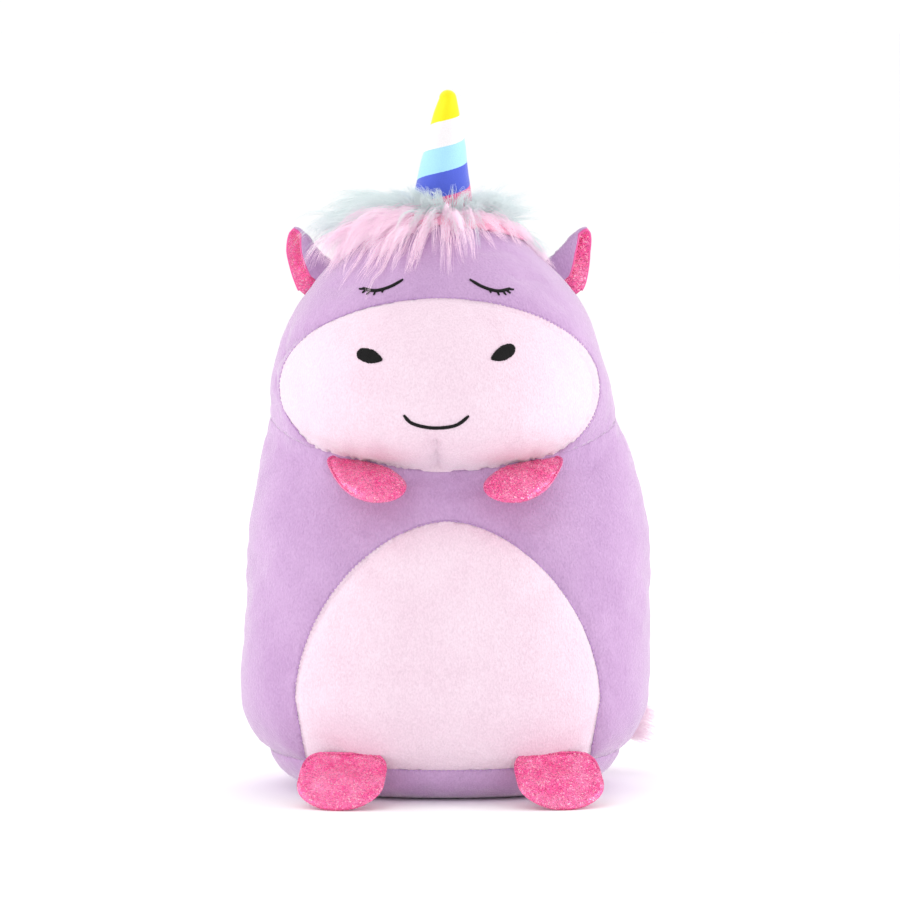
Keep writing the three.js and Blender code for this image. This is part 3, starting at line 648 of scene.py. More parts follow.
# The last figure of each fur is the strength of its painted glow.
ROSE_FUR = fur("rose_fur", tone(0xF9C4DE), tone(0xFFEAF6), tone(0xF8CFE8), 0.15)
MINT_FUR = fur("mint_fur", tone(0xC4D8DA), tone(0xF2F9F9), tone(0xCFE1E3), 0.08)
TAIL_FUR = fur("tail_fur", tone(0xF9D0E6), tone(0xFFEEF7), tone(0xF9D6EA), 0.1)
BLACK = thread("black_thread", (0.007, 0.006, 0.007), (0.002, 0.002, 0.002), 0.0, 0.7)
LILAC_THREAD = thread("lilac_thread", tone(0xC9A4D4), tone(0xAE83BE))
ROSE_THREAD = thread("rose_thread", tone(0xF06AA8), tone(0xD23C86))
HORN_FABRIC = horn_fabric("striped_horn_fabric")
ROSE_BACKING = backing("rose_backing", tone(0xF9BFD6), tone(0xF2A3C2))
TAIL_BACKING = backing("tail_backing", tone(0xFFEAF5), tone(0xF9D8EA))
MINT_BACKING = backing("mint_backing", tone(0xE3ECEC), tone(0xC7D6D8))


# ------------------------------------------------------------ body skin


def seam_points(points, edges):
    """Points along every seam, each with the depth of its groove."""
    found, depths = [], []
    a, b = edges.T
    for field, zone, depth in SEAMS:
        value = field(points)
        inside = zone(points)
        hit = ((value[a] < 0) != (value[b] < 0)) & inside[a] & inside[b]
        hit &= np.abs(value[a] - value[b]) < 30
        t = (value[a] / (value[a] - value[b] + 1e-12))[hit][:, None]
        found.append(points[a[hit]] * (1 - t) + points[b[hit]] * t)
        depths.append(np.full(hit.sum(), float(depth)))
    return np.concatenate(found), np.concatenate(depths)


def seam_distance(points, edges):
    """Distance from each point to the nearest seam, and that seam's depth."""
    marks, depths = seam_points(points, edges)
    tree = KDTree(len(marks))
    for i, mark in enumerate(marks):
        tree.insert(mark, i)
    tree.balance()
    nearest = [tree.find(p) for p in points]
    return np.array([hit[2] for hit in nearest]), depths[[hit[1] for hit in nearest]]


def cloth_pass(obj, pin, pressure, cap, excess, frames=20):
    """Inflates a closed skin held along its seams, and keeps the result."""
    rest = points_of(obj.data)
    group = obj.vertex_groups.new(name="pin")
    for i, weight in enumerate(pin):
        if weight > 0.01:
            group.add([i], float(weight), "REPLACE")
    modifier = obj.modifiers.new("cloth", "CLOTH")
    cloth = modifier.settings
    cloth.quality = 5
    cloth.mass = 0.3
    cloth.tension_stiffness = 12
    cloth.compression_stiffness = 12
    cloth.shear_stiffness = 5
    cloth.bending_stiffness = 0.6
    cloth.vertex_group_mass = "pin"
    cloth.pin_stiffness = 1
    cloth.use_pressure = True
    cloth.uniform_pressure_force = pressure
    cloth.shrink_min = -excess
    cloth.effector_weights.gravity = 0
    modifier.collision_settings.use_collision = False
    scene = bpy.context.scene
    for step in range(1, frames + 1):
        scene.frame_set(step)
    graph = bpy.context.evaluated_depsgraph_get()
    done = points_of(obj.evaluated_get(graph).data)
    obj.modifiers.clear()
    obj.vertex_groups.clear()
    scene.frame_set(1)
    move = done - rest
    far = np.linalg.norm(move, axis=1, keepdims=True)
    move *= cap * np.tanh(far / cap) / np.maximum(far, 1e-9)
    set_points(obj.data, rest + move)


def sway(points):
    """The stuffing leans a little: the head to the toy's right and the waist to its left."""
    heights = [0, 60, 100, 145, 175, 200, 225, 255, 285, 303, 331]
    shifts = [0, 0, 1.5, 2.3, 1.5, 0, -2.5, -3.4, -2.6, -3.8, -1.5]
    return np.interp(points[:, 2], heights, shifts)


def body_skin():
    """The whole stuffed body as one closed skin."""
    inset = 1.2
    first, first_faces = TORSO.mesh(inset)
    second, second_faces = HEAD.mesh(inset)
    faces = first_faces + [tuple(i + len(first) for i in f) for f in second_faces]
    obj = add_object("skin", list_mesh("skin", np.concatenate([first, second]), faces))
    remesh = obj.modifiers.new("remesh", "REMESH")
    remesh.mode = "VOXEL"
    remesh.voxel_size = 4.2 * MM
    apply_modifiers(obj)
    points, edges = points_of(obj.data), edges_of(obj.data)
    rear = np.clip((points[:, 1] + 75) / 60, 0, 1)
    near = np.exp(-((crease_field(points) / 22) ** 2))
    side = rear * near * (np.abs(points[:, 2] - TORSO_HEIGHT) < 45)
    points = relax(points, edges, 0.9 * side, 34)
    points = relax(points, edges, np.full(len(points), 0.35), 2)
    set_points(obj.data, points)
    distance, depth = seam_distance(points, edges)
    pin = np.clip(1.6 - distance / 3.2, 0, 1)
    pin *= np.where(depth > 0.5, 1, np.clip((-points[:, 1] - 60) / 15, 0, 1))
    pin[points[:, 2] < 2.5] = 1
    cloth_pass(obj, pin, 4.0, 3.2, 0.012)
    subdivide = obj.modifiers.new("subdivide", "SUBSURF")
    subdivide.levels = 1
    subdivide.render_levels = 1
    apply_modifiers(obj)
    points, edges = points_of(obj.data), edges_of(obj.data)
    normals = normals_of(obj.data)
    distance, depth = seam_distance(points, edges)
    groove = depth * (np.exp(-((distance / 1.9) ** 2)) + 0.55 * np.exp(-((distance / 7) ** 2)))
    pucker = noise_at(points, 5.5, 3.1) * 0.45 * np.exp(-distance / 9) * np.clip(distance / 2, 0, 1)
    lumps = 0.9 * noise_at(points, 46, 1.3) + 0.35 * noise_at(points, 17, 5.2)
    lumps *= np.clip(distance / 12, 0, 1)
    move = -groove + pucker + lumps
    move *= np.clip((points[:, 2] - 1) / 6, 0, 1)
    points = points + move[:, None] * normals
    points[:, 0] += sway(points)
    points[:, 2] = np.maximum(points[:, 2], 0.2)
    set_points(obj.data, points)
    # Where the cuts are measured, so that they run smoothly across lumps and puckers.
    calm = relax(points, edges, np.full(len(points), 0.8), 10)
    attribute = obj.data.attributes.new("calm", "FLOAT_VECTOR", "POINT")
    attribute.data.foreach_set("vector", calm.astype(np.float32).ravel())
    return obj


def cut_along(bm, field, zone):
    """Adds edges to a mesh where a field is zero."""
    bm.verts.index_update()
    verts = list(bm.verts)
    calm = bm.verts.layers.float_vector["calm"]
    points = np.array([v[calm][:] for v in verts])
    value, inside = field(points), zone(points)
    on = np.abs(value) < 0.25
    marked = [verts[i] for i in np.flatnonzero(on & inside)]
    edges = list(bm.edges)
    ends = np.array([(e.verts[0].index, e.verts[1].index) for e in edges])
    a, b = ends.T
    hit = ((value[a] < 0) != (value[b] < 0)) & ~on[a] & ~on[b] & inside[a] & inside[b]
    hit &= np.abs(value[a] - value[b]) < 30
    for i in np.flatnonzero(hit):
        low, high = value[a[i]], value[b[i]]
        _, vert = bmesh.utils.edge_split(edges[i], verts[a[i]], float(low / (low - high)))
        marked.append(vert)
    bmesh.ops.connect_verts(bm, verts=marked)


PANELS = {
    "base": (LILAC, "lilac_velour", ["base_panel"]),
    "belly": (BLUSH, "blush_velour", ["belly_panel"]),
    "chest": (LILAC, "lilac_velour", ["chest_panel", "body_filling"]),
    "muzzle": (BLUSH, "blush_velour", ["muzzle_panel"]),
    "forehead": (LILAC, "lilac_velour", ["forehead_panel", "head_filling"]),
    "back_left": (LILAC, "lilac_velour", ["back_left_panel"]),
    "back_right": (LILAC, "lilac_velour", ["back_right_panel"]),
}


def panel_names(centres):
    """The panel that each face belongs to."""
    names = np.where(centres[:, 0] > 0, "back_left", "back_right").astype(object)
    front = side_field(centres) < 0
    head = crease_field(centres) < 0
    names[front & head] = "forehead"
    names[front & ~head] = "chest"
    names[front & head & (muzzle_field(centres) < 0)] = "muzzle"
    names[front & ~head & (belly_field(centres) < 0)] = "belly"
    names[base_field(centres) < 0] = "base"
    return names


def body_panels(skin):
    bm = bmesh.new()
    bm.from_mesh(skin.data)
    for field, zone, _ in SEAMS[:-1]:
        cut_along(bm, field, zone)
    bm.verts.index_update()
    points = np.array([v.co[:] for v in bm.verts]) / MM
    calm = np.array([v[bm.verts.layers.float_vector["calm"]][:] for v in bm.verts])
    faces = [[v.index for v in f.verts] for f in bm.faces]
    centres = np.array([calm[f].mean(0) for f in faces])
    names = panel_names(centres)
    bm.free()
    for name, (material, slot, nodes) in PANELS.items():
        chosen = [faces[i] for i in np.flatnonzero(names == name)]
        mesh = cut_out(f"{name}_fabric", points, chosen)
        panel = thicken(add_object(mesh.name, mesh, material), 1.8, smooth=False)
        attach(panel, "root")
        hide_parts(*nodes)


# ------------------------------------------------------------ thread on the skin


class Surface:
    """The finished skin, for laying pieces on it."""

    def __init__(self, obj):
        points = points_of(obj.data)
        self.tree = BVHTree.FromPolygons(points.tolist(), [p.vertices[:] for p in obj.data.polygons])

    def hit(self, origin, direction):
        place, normal, _, _ = self.tree.ray_cast(Vector(origin), Vector(direction).normalized())
        if place is None:
            return None
        return np.array(place), np.array(normal)

    def from_front(self, x, z):
        return self.hit((x, -300, z), (0, 1, 0))

    def from_above(self, x, y):
        return self.hit((x, y, 600), (0, 0, -1))

    def outside(self, point, clearance):
        """The point, moved out to a clearance if it lies nearer than that."""
        place, normal, _, _ = self.tree.find_nearest(Vector(point))
        normal = np.array(normal)
        place = np.array(place)
        if (point - place) @ normal < clearance:
            return place + normal * clearance
        return point


def resample(points, pitch):
    """Points at equal distances along a polyline."""
    points = np.asarray(points, float)
    run = np.concatenate([[0], np.cumsum(np.linalg.norm(np.diff(points, axis=0), axis=1))])
    count = max(int(run[-1] / pitch), 2)
    at = np.linspace(0, run[-1], count + 1)
    return np.stack([np.interp(at, run, points[:, k]) for k in range(3)], 1)


def seam_stitches(name, path, material):
    """Short threads end to end along a seam, set into its groove."""
    path = resample(path, STITCH_PITCH / 6)
    length = 4
    starts = range(0, len(path) - length, 6)
    threads = np.array([path[i : i + length + 1] for i in starts])
    radii = np.broadcast_to(0.34 * np.array([0.45, 1, 1.1, 1, 0.45]), threads.shape[:2])
    mesh = triangle_mesh(name, *tubes(threads, radii, 6))
    return add_object(name, mesh, material, "root")


def on_surface(surface, outline, rise=0.0):
    """Outline of (x, z) points laid on the front of the skin."""
    laid = []
    for x, z in outline:
        found = surface.from_front(x, z)
        if found:
            laid.append(found[0] + rise * found[1])
    return np.array(laid)


def muzzle_outline():
    angle = np.linspace(-0.55, math.pi + 0.55, 220)
    x = FACE_X + MUZZLE_HALF * np.cos(angle)
    reach = np.where(np.sin(angle) > 0, MUZZLE_ARCH, MUZZLE_DROP)
    return list(zip(x, MUZZLE_LINE_Z + reach * np.sin(angle)))


def belly_outline():
    angle = np.linspace(0, math.pi, 200)
    power = 2 / BELLY_POWER
    x = BELLY_X + BELLY_HALF * np.sign(np.cos(angle)) * np.abs(np.cos(angle)) ** power
    arch = list(zip(x, BELLY_WIDE_Z + BELLY_ARCH * np.sin(angle) ** power))
    drop = np.linspace(0, 1, 30)
    height = BELLY_WIDE_Z - drop * (BELLY_WIDE_Z - BASE_SEAM_Z)
    right = [(BELLY_X - BELLY_HALF + 6 * d, z) for d, z in zip(drop, height)]
    left = [(BELLY_X + BELLY_HALF - 6 * d, z) for d, z in zip(drop, height)]
    return left[::-1] + arch + right


def base_outline():
    x = np.linspace(-80, 80, 160)
    return [(v, BASE_SEAM_Z - 3 * (1 - (v / 95) ** 2)) for v in x]


def satin(name, surface, path, widths, pitch, slant=0.15, node=None):
    """Satin stitch: threads laid side by side across a path on the skin."""
    path = np.asarray(path, float)
    run = np.concatenate([[0], np.cumsum(np.linalg.norm(np.diff(path, axis=0), axis=1))])
    at = np.arange(0, run[-1], pitch)
    x, z = (np.interp(at, run, path[:, k]) for k in (0, 1))
    width = np.interp(at, run, widths)
    along = unit(np.stack([np.gradient(x), np.gradient(z)], 1))
    threads = []
    for i in range(len(at)):
        if width[i] < 0.3:
            continue
        across = np.array([-along[i, 1], along[i, 0]]) + slant * along[i]
        across = across * (1 + 0.03 * RNG.normal())
        row = []
        for share in np.linspace(-0.5, 0.5, 7):
            px, pz = np.array([x[i], z[i]]) + across * width[i] * share
            found = surface.from_front(px, pz)
            rise = 0.1 + min(0.75, 0.3 + 0.1 * width[i]) * (1 - (2 * share) ** 4)
            row.append(found[0] + found[1] * rise)
        threads.append(row)
    threads = np.array(threads)
    radii = np.full(threads.shape[:2], pitch * 0.62)
    mesh = triangle_mesh(name, *tubes(threads, radii, 5))
    obj = add_object(name, mesh, BLACK, "root")
    if node:
        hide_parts(node)
    return obj


def bow(points, count=24):
    """Smooth curve through a few (x, z) points."""
    points = np.asarray(points, float)
    t = np.linspace(0, len(points) - 1, count)
    i = np.minimum(t.astype(int), len(points) - 2)
    u = (t - i)[:, None]
    p0, p1, p2, p3 = (points[np.clip(i + k, 0, len(points) - 1)] for k in (-1, 0, 1, 2))
    square = 2 * p0 - 5 * p1 + 4 * p2 - p3
    return p1 + 0.5 * u * (p2 - p0 + u * (square + u * (3 * (p1 - p2) + p3 - p0)))


LASHES = [  # share of the way along the lid, slope in degrees, length
    (0.52, 68, 2.0),
    (0.66, 62, 2.6),
    (0.8, 50, 3.0),
    (0.9, 38, 3.2),
    (0.985, 8, 2.6),
]


def face_stitching(surface):
    low, high = (np.array(corner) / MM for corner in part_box("smile"))
    x, half = (low[0] + high[0]) / 2, (high[0] - low[0]) / 2
    arc = bow([
        (x - half, high[2]), (x - 0.74 * half, low[2] + 3.4), (x - 0.12 * half, low[2] + 0.9),
        (x + 0.58 * half, low[2] + 2.3), (x + half, high[2] - 0.3),
    ])
    widths = np.interp(np.linspace(0, 1, 24), [0, 0.1, 0.9, 1], [0.9, 1.7, 1.7, 0.9])
    satin("smile_stitching", surface, arc, widths, 0.42, node="smile")
    for side, sign in (("left", 1), ("right", -1)):
        low, high = (np.array(corner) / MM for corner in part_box(f"eye_{side}"))
        inner = low[0] + 0.5 if sign > 0 else high[0] - 0.5
        top = high[2] + 0.3
        arc = bow([
            (inner, top), (inner + sign * 7.5, top - 4.0),
            (inner + sign * 15.5, top - 6.2), (inner + sign * 22.5, top - 5.4),
        ])
        widths = np.interp(np.linspace(0, 1, 24), [0, 0.15, 0.9, 1], [0.8, 1.35, 1.5, 1.0])
        satin(f"eye_{side}_line", surface, arc, widths, 0.4, node=f"eye_{side}")
        for k, (share, lean, long) in enumerate(LASHES):
            start = arc[int(share * 23)]
            step = np.array([sign * math.cos(math.radians(lean)), -math.sin(math.radians(lean))])
            lash = [start, start + step * long * 0.5 + [0, -0.15], start + step * long]
            satin(f"lash_{side}_{k + 1}", surface, lash, [1.0, 0.85, 0.5], 0.36)
        low, high = (np.array(corner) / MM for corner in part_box(f"nostril_{side}"))
        cx, cz = (low[0] + high[0]) / 2, (low[2] + high[2]) / 2
        cz += 0.5 if sign > 0 else -1.2
        turn = math.radians(22 if sign > 0 else 14) * sign
        axis = np.array([math.cos(turn), math.sin(turn)]) * 7.3
        share = np.linspace(-1, 1, 41)
        line = [np.array([cx, cz]) + axis * t * sign for t in share]
        rounded = np.sqrt(np.maximum(1 - share**2, 0))
        blunt = np.sqrt(np.maximum(1 - np.abs(share) ** 3.2, 0))
        widths = 7.6 * np.where(share > 0, blunt, rounded * (1 + share) ** 0.3)
        satin(f"nostril_{side}_fill", surface, line, widths, 0.45, slant=0.1, node=f"nostril_{side}")


# ------------------------------------------------------------ paws and feet


def egg_rim(length, width):
    def rim(angle):
        x = -(width / 2) * np.sin(angle) * (1 - 0.3 * np.cos(angle))
        return np.stack([x, (length / 2) * (1 - np.cos(angle))], 1)

    return rim


def straight_rim(length, width, squareness):
    def rim(angle):
        across, along = np.sin(angle), np.cos(angle)
        power = np.where(along > 0, 2 / squareness, 1.0)
        x = -(width / 2) * np.sign(across) * np.abs(across) ** power
        return np.stack([x, (length / 2) * (1 - np.sign(along) * np.abs(along) ** power)], 1)

    return rim


def pouch(name, rim, size, root_fullness, place, reach, nodes, flange=1.1):
    """Stuffed pouch of two panels with a seam round its edge."""
    length, thickness = size
    origin, x_axis, y_axis, z_axis = place
    segments = 96
    angle = 2 * np.pi * np.arange(segments) / segments
    edge = rim(angle)
    middle = np.array([0, length / 2])
    shares = np.sin(np.linspace(0, 1, 15) * np.pi / 2)[1:]
    rings = []
    for side in (1, -1):
        loops = []
        for share in shares[:-1]:
            flat = middle + (edge - middle) * share
            full = root_fullness + (1 - root_fullness) * np.clip(2 * flat[:, 1] / length, 0, 1)
            dome = (1 - share**2.2) ** 0.62
            loops.append(np.column_stack([flat, side * (thickness / 2 - 1.2) * dome * full]))
        rings.append(loops)
    loops = rings[0] + [np.column_stack([edge, 0 * angle])] + rings[1][::-1]
    points = np.concatenate(loops)
    peak = thickness / 2 - 1.2
    points = np.concatenate([points, [[0, length / 2, peak], [0, length / 2, -peak]]])
    faces = []
    count = len(loops)
    for i in range(count - 1):
        for j in range(segments):
            k = (j + 1) % segments
            low, high = i * segments, (i + 1) * segments
            faces.append((low + j, low + k, high + k, high + j))
    top, bottom = len(points) - 2, len(points) - 1
    for j in range(segments):
        k = (j + 1) % segments
        last = (count - 1) * segments
        faces.append((top, k, j))
        faces.append((bottom, last + j, last + k))
    obj = add_object(name, list_mesh(name, points, faces))
    rim_index = (len(shares) - 1) * segments
    is_rim = np.zeros(len(points), bool)
    is_rim[rim_index : rim_index + segments] = True
    pin = is_rim.astype(float)
    pin[points[:, 1] < 2] = 1
    cloth_pass(obj, pin, 5.0, 2.2, 0.03)
    points = points_of(obj.data)
    # Gathers that run in from the seam, and a thin flange where the panels meet.
    flat_angle = np.arctan2(points[:, 0], points[:, 1] - length / 2)
    spread = np.linalg.norm(points[:, :2] - middle, axis=1)
    edge_angle = np.arctan2(edge[:, 0], edge[:, 1] - length / 2)
    order = np.argsort(edge_angle)
    edge_spread = np.linalg.norm(edge - middle, axis=1)
    limit = np.interp(flat_angle, edge_angle[order], edge_spread[order], period=2 * np.pi)
    share = np.clip(spread / limit, 0, 1)
    gathers = np.sin(flat_angle * 27 + 2 * np.sin(3 * flat_angle))
    gathers *= np.exp(-(((share - 0.86) / 0.12) ** 2))
    lift = np.sign(points[:, 2]) * 0.28 * gathers
    points[:, 2] += lift + 0.25 * noise_at(points, 7, 4.4) * (share < 0.95)
    out = unit(points[:, :2] - middle)
    points[is_rim, :2] += flange * out[is_rim]
    # The root narrows to the skin that it is sewn to.
    back = np.clip(1 - points[:, 1] / (0.3 * length), 0, 1) ** 2
    points[:, 1] -= reach * back
    world = origin + points[:, :1] * x_axis + points[:, 1:2] * y_axis + points[:, 2:] * z_axis
    set_points(obj.data, world)
    height = points[:, 2]
    polygons = [list(p.vertices) for p in obj.data.polygons]
    made = []
    for upper, node_name in ((True, nodes[0]), (False, nodes[1])):
        half = [f for f in polygons if (np.mean(height[f]) > 0) == upper]
        mesh = cut_out(f"{node_name}_fabric", world, half)
        panel = thicken(add_object(mesh.name, mesh, GLITTER), 0.8)
        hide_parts(node_name)
        made.append(panel)
    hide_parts(nodes[2])
    seam = world[rim_index : rim_index + segments]
    inner = unit(world[[top]] * 0.5 + world[[bottom]] * 0.5 - seam)
    closed = np.concatenate([seam + 1.4 * inner, (seam + 1.4 * inner)[:6]])
    path = resample(closed, STITCH_PITCH / 6)
    threads = np.array([path[i : i + 5] for i in range(0, len(path) - 5, 6)])
    for mark, rise in (("top", 1), ("under", -1)):
        shifted = threads + z_axis * rise * 0.75
        radii = np.broadcast_to(0.22 * np.array([0.5, 1, 1, 1, 0.5]), threads.shape[:2])
        mesh = triangle_mesh(f"{name}_stitch_{mark}", *tubes(shifted, radii, 5))
        made.append(add_object(mesh.name, mesh, ROSE_THREAD))
    bpy.data.objects.remove(obj)
    for piece in made:
        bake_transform(piece)


def joint_place(name):
    joint = JOINTS[name]
    return np.array(joint["pos_m"]) / MM, np.array(joint["axis"], float)


def paws_and_feet():
    for side, sign in (("left", 1), ("right", -1)):
        origin, _ = joint_place(f"arm_{side}_swing")
        inward, forward, down = ARM_AIM
        y_axis = unit(np.array([-inward * sign, -forward, -down]))
        x_axis = unit(np.cross(y_axis, [0, -0.5, 0.85]))
        place = (origin, x_axis, y_axis, np.cross(x_axis, y_axis))
        names = [f"arm_{side}_{part}" for part in ("upper", "under", "filling")]
        rim = egg_rim(ARM_LENGTH, ARM_WIDTH)
        size = (ARM_LENGTH, ARM_THICKNESS)
        pouch(f"arm_{side}", rim, size, 0.45, place, 4.5, names)
        origin, x_axis = joint_place(f"foot_{side}_lift")
        level = np.array([-x_axis[1], x_axis[0], 0])
        pitch = math.radians(FOOT_PITCH)
        y_axis = level * math.cos(pitch) - np.array([0, 0, 1]) * math.sin(pitch)
        place = (origin, x_axis, y_axis, np.cross(x_axis, y_axis))
        names = [f"foot_{side}_{part}" for part in ("top", "sole", "filling")]
        rim = straight_rim(FOOT_LENGTH, FOOT_WIDTH, FOOT_SQUARENESS)
        size = (FOOT_LENGTH, FOOT_THICKNESS)
        pouch(f"foot_{side}", rim, size, 0.3, place, 3.2, names, 0.5)


# ------------------------------------------------------------ ears


def ear_point(across, up):
    rise = np.clip(up, 0, 1)
    leaf = (1 - 0.6 * rise**1.2) * np.sqrt(1 - (0.985 * rise) ** 7)
    flap = np.clip(1 - (1 - EAR_FLAP) / leaf, 0.08, EAR_FLAP)  # narrows to the tip
    fold = 1 / (1 + flap)
    on_flap = across > fold
    share = np.where(on_flap, 2 - across / fold, across / fold)
    closed = 3.3 * EAR_LAYER
    opening = closed + (EAR_OPENING - closed) * np.sin(0.8 * np.pi * rise)
    bend = np.sqrt(np.maximum(1 - share**6, 0))
    return np.stack(
        [
            (share - 0.5) * EAR_BASE * leaf + EAR_LEAN * rise**1.3,
            np.where(on_flap, -1, 1) * opening * bend * (0.4 + 0.6 * leaf) / 2,
            EAR_HEIGHT * up,
        ],
        -1,
    )


def ear_sheet(offset_in, offset_out, mirror, grow=0.0):
    """Closed slab between two offsets from the ear's middle surface."""
    columns, rows = 56, 30
    across = np.linspace(-grow, 1 + grow, columns + 1)[None, :].repeat(rows + 1, 0)
    up = 1 - 1.2 * np.linspace(1, 0, rows + 1) ** 1.7  # closer rows round the tip
    up = up[:, None].repeat(columns + 1, 1)
    step = 0.004
    ahead, behind = (np.clip(across + s, 0, 1) for s in (step, -step))
    right = ear_point(ahead, up) - ear_point(behind, up)
    top = ear_point(across, np.minimum(up + step, 1)) - ear_point(across, up - step)
    normal = unit(np.cross(right, top))
    middle = ear_point(across, up)
    crumple = 0.25 * np.sin(9 * across + 6 * up) * np.sin(np.pi * np.clip(up, 0, 1))
    sheets = []
    for offset in (offset_in, offset_out):
        grid = middle + normal * (offset + crumple)[..., None]
        grid[..., 0] *= mirror
        sheets.append(grid.reshape(-1, 3))
    points = np.concatenate(sheets)
    width = columns + 1
    second = width * (rows + 1)
    faces = []
    for i in range(rows):
        for j in range(columns):
            a = i * width + j
            faces.append((a, a + 1, a + width + 1, a + width))
            faces.append((second + a, second + a + width, second + a + width + 1, second + a + 1))
    border = list(range(width))
    border += [i * width + columns for i in range(1, rows + 1)]
    border += [rows * width + j for j in range(columns - 1, -1, -1)]
    border += [i * width for i in range(rows - 1, 0, -1)]
    for n, a in enumerate(border):
        b = border[(n + 1) % len(border)]
        faces.append((b, a, second + a, second + b))
    if mirror < 0:
        faces = [f[::-1] for f in faces]
    return points, faces, border


def ears():
    for side, sign in (("left", 1), ("right", -1)):
        origin, axis = joint_place(f"ear_{side}_fold")
        base_line = axis * sign
        up = unit(np.cross([0, 1, 0], base_line)) * -1
        if up[2] < 0:
            up = -up
        x_axis = np.array([up[2], 0, -up[0]])
        y_axis = np.array([0.0, 1, 0])
        pieces = []
        parts = (
            ("outer", -1.55, -0.1, LILAC, "lilac_velour"),
            ("inner", 0.1, 1.3, GLITTER, "glitter_fabric"),
        )
        for part, low, high, material, slot in parts:
            points, faces, border = ear_sheet(low, high, -sign)
            world = origin + points[:, :1] * x_axis + points[:, 1:2] * y_axis + points[:, 2:] * up
            world[:, 0] += sway(world)
            name = f"ear_{side}_{part}_fabric"
            mesh = list_mesh(name, world, faces)
            bm = bmesh.new()
            bm.from_mesh(mesh)
            bmesh.ops.recalc_face_normals(bm, faces=bm.faces)
            bm.to_mesh(mesh)
            bm.free()
            piece = add_object(name, mesh, material)
            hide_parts(f"ear_{side}_{part}")
            pieces.append(piece)
        points, _, border = ear_sheet(-0.1, 0.1, -sign)
        edge = points[border]
        world = origin + edge[:, :1] * x_axis + edge[:, 1:2] * y_axis + edge[:, 2:] * up
        world[:, 0] += sway(world)
        keep = edge[:, 2] > -1
        first = int(np.argmax(keep & ~np.roll(keep, 1)))
        world = np.roll(world, -first, 0)[: keep.sum()]
        path = resample(world, 0.8)
        radii = np.full((1, len(path)), 0.95)
        mesh = triangle_mesh(f"ear_{side}_binding", *tubes(path[None], radii, 8))
        pieces.append(add_object(mesh.name, mesh, ROSE_THREAD))
        for piece in pieces:
            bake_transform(piece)


# ------------------------------------------------------------ horn


def bend_with_horn(obj):
    """Fixes the piece's placement into its points."""
    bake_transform(obj)


def stand_horn(points):
    """Leans upright points and sets them on the crown."""
    pivot, _ = joint_place("horn_rock")
    lean = math.radians(HORN_LEAN)
    x = points[:, 0] * math.cos(lean) + points[:, 2] * math.sin(lean)
    z = -points[:, 0] * math.sin(lean) + points[:, 2] * math.cos(lean)
    world = np.stack([x, points[:, 1], z], 1) + pivot + [0, 0, 1.5]
    world[:, 0] += sway(world)
    return world


def horn():
    segments, rings = 72, 60
    dome = 10
    cone_top = HORN_LENGTH - HORN_TIP
    rows = []
    for i in range(rings + 1):
        z = -1.5 + (cone_top + 1.5) * i / rings
        share = max(z, 0) / cone_top
        belly = 0.8 * math.sin(math.pi * share)
        rows.append((HORN_BASE + (HORN_TIP - HORN_BASE) * share + belly, z))
    for i in range(1, dome):
        angle = math.pi / 2 * i / dome
        rows.append((HORN_TIP * math.cos(angle), cone_top + HORN_TIP * math.sin(angle)))
    angle = np.linspace(-np.pi, np.pi, segments + 1)
    points, stripe = [], []
    for radius, z in rows:
        wave = radius + 0.25 * np.sin(2 * angle + z / 9) + 0.16 * np.sin(5 * angle - z / 5)
        from_seam = np.pi - np.abs(angle)
        wave -= 0.9 * np.exp(-((from_seam / 0.09) ** 2))
        cap = radius * (1 - 0.06 * np.exp(-((from_seam / 0.2) ** 2)))
        wave = np.where(z > cone_top, cap, wave)
        points.append(np.stack([wave * np.sin(angle), -wave * np.cos(angle), 0 * angle + z], 1))
        stripe.append(z - 0.29 * radius * angle)
    grid = np.concatenate(points)
    width = segments + 1
    faces = []
    for i in range(len(rows) - 1):
        for j in range(segments):
            a = i * width + j
            faces.append((a, a + 1, a + width + 1, a + width))
    tip = len(grid)
    grid = np.concatenate([grid, [[0, 0, HORN_LENGTH]], [[0, 0, -1.5]]])
    stripe = np.concatenate([np.concatenate(stripe), [HORN_LENGTH, 0.0]])
    last = (len(rows) - 1) * width
    for j in range(segments):
        faces.append((last + j, last + j + 1, tip))
        faces.append((j + 1, j, tip + 1))
    grid = grid + 0.25 * noise_at(grid, 9, 8.8)[:, None] * unit(grid * [1, 1, 0])
    mesh = list_mesh("horn_fabric", stand_horn(grid), faces)
    float_attribute(mesh, "stripe", (stripe + 9) / (HORN_LENGTH + 9))
    obj = add_object("horn_fabric", mesh, HORN_FABRIC)
    bend_with_horn(obj)
    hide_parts("horn_cover", "horn_filling")
    seam = np.array([(0, r - 0.5, z) for r, z in rows[:rings]])
    path = resample(stand_horn(seam), STITCH_PITCH / 6)
    threads = np.array([path[i : i + 5] for i in range(0, len(path) - 5, 6)])
    radii = np.broadcast_to(0.3 * np.array([0.5, 1, 1, 1, 0.5]), threads.shape[:2])
    mesh = triangle_mesh("horn_seam_stitches", *tubes(threads, radii, 5))
    bend_with_horn(add_object(mesh.name, mesh, LILAC_THREAD))


# ------------------------------------------------------------ fur


def comb(surface, roots, normals, flow, length, lift, droop, clearance, steps=9):
    """Paths of locks that rise from the skin, follow a flow and fall under their weight."""
    paths = []
    rows = zip(roots, normals, flow, length, lift, droop, clearance)
    for root, normal, way, far, high, fall, clear in rows:
        direction = unit(normal * high + way)
        point = root - normal * 0.3
        path = [point]
        for k in range(1, steps):
            share = k / (steps - 1)
            direction = unit(direction + np.array([0, 0, -fall * share]))
            point = point + direction * far / (steps - 1)
            moved = surface.outside(point, clear * min(1, 2.5 * share) + 0.3)
            if k > 1:
                direction = unit(direction + 0.8 * (moved - point))
            point = moved
            path.append(point)
        paths.append(path)
    return np.array(paths)


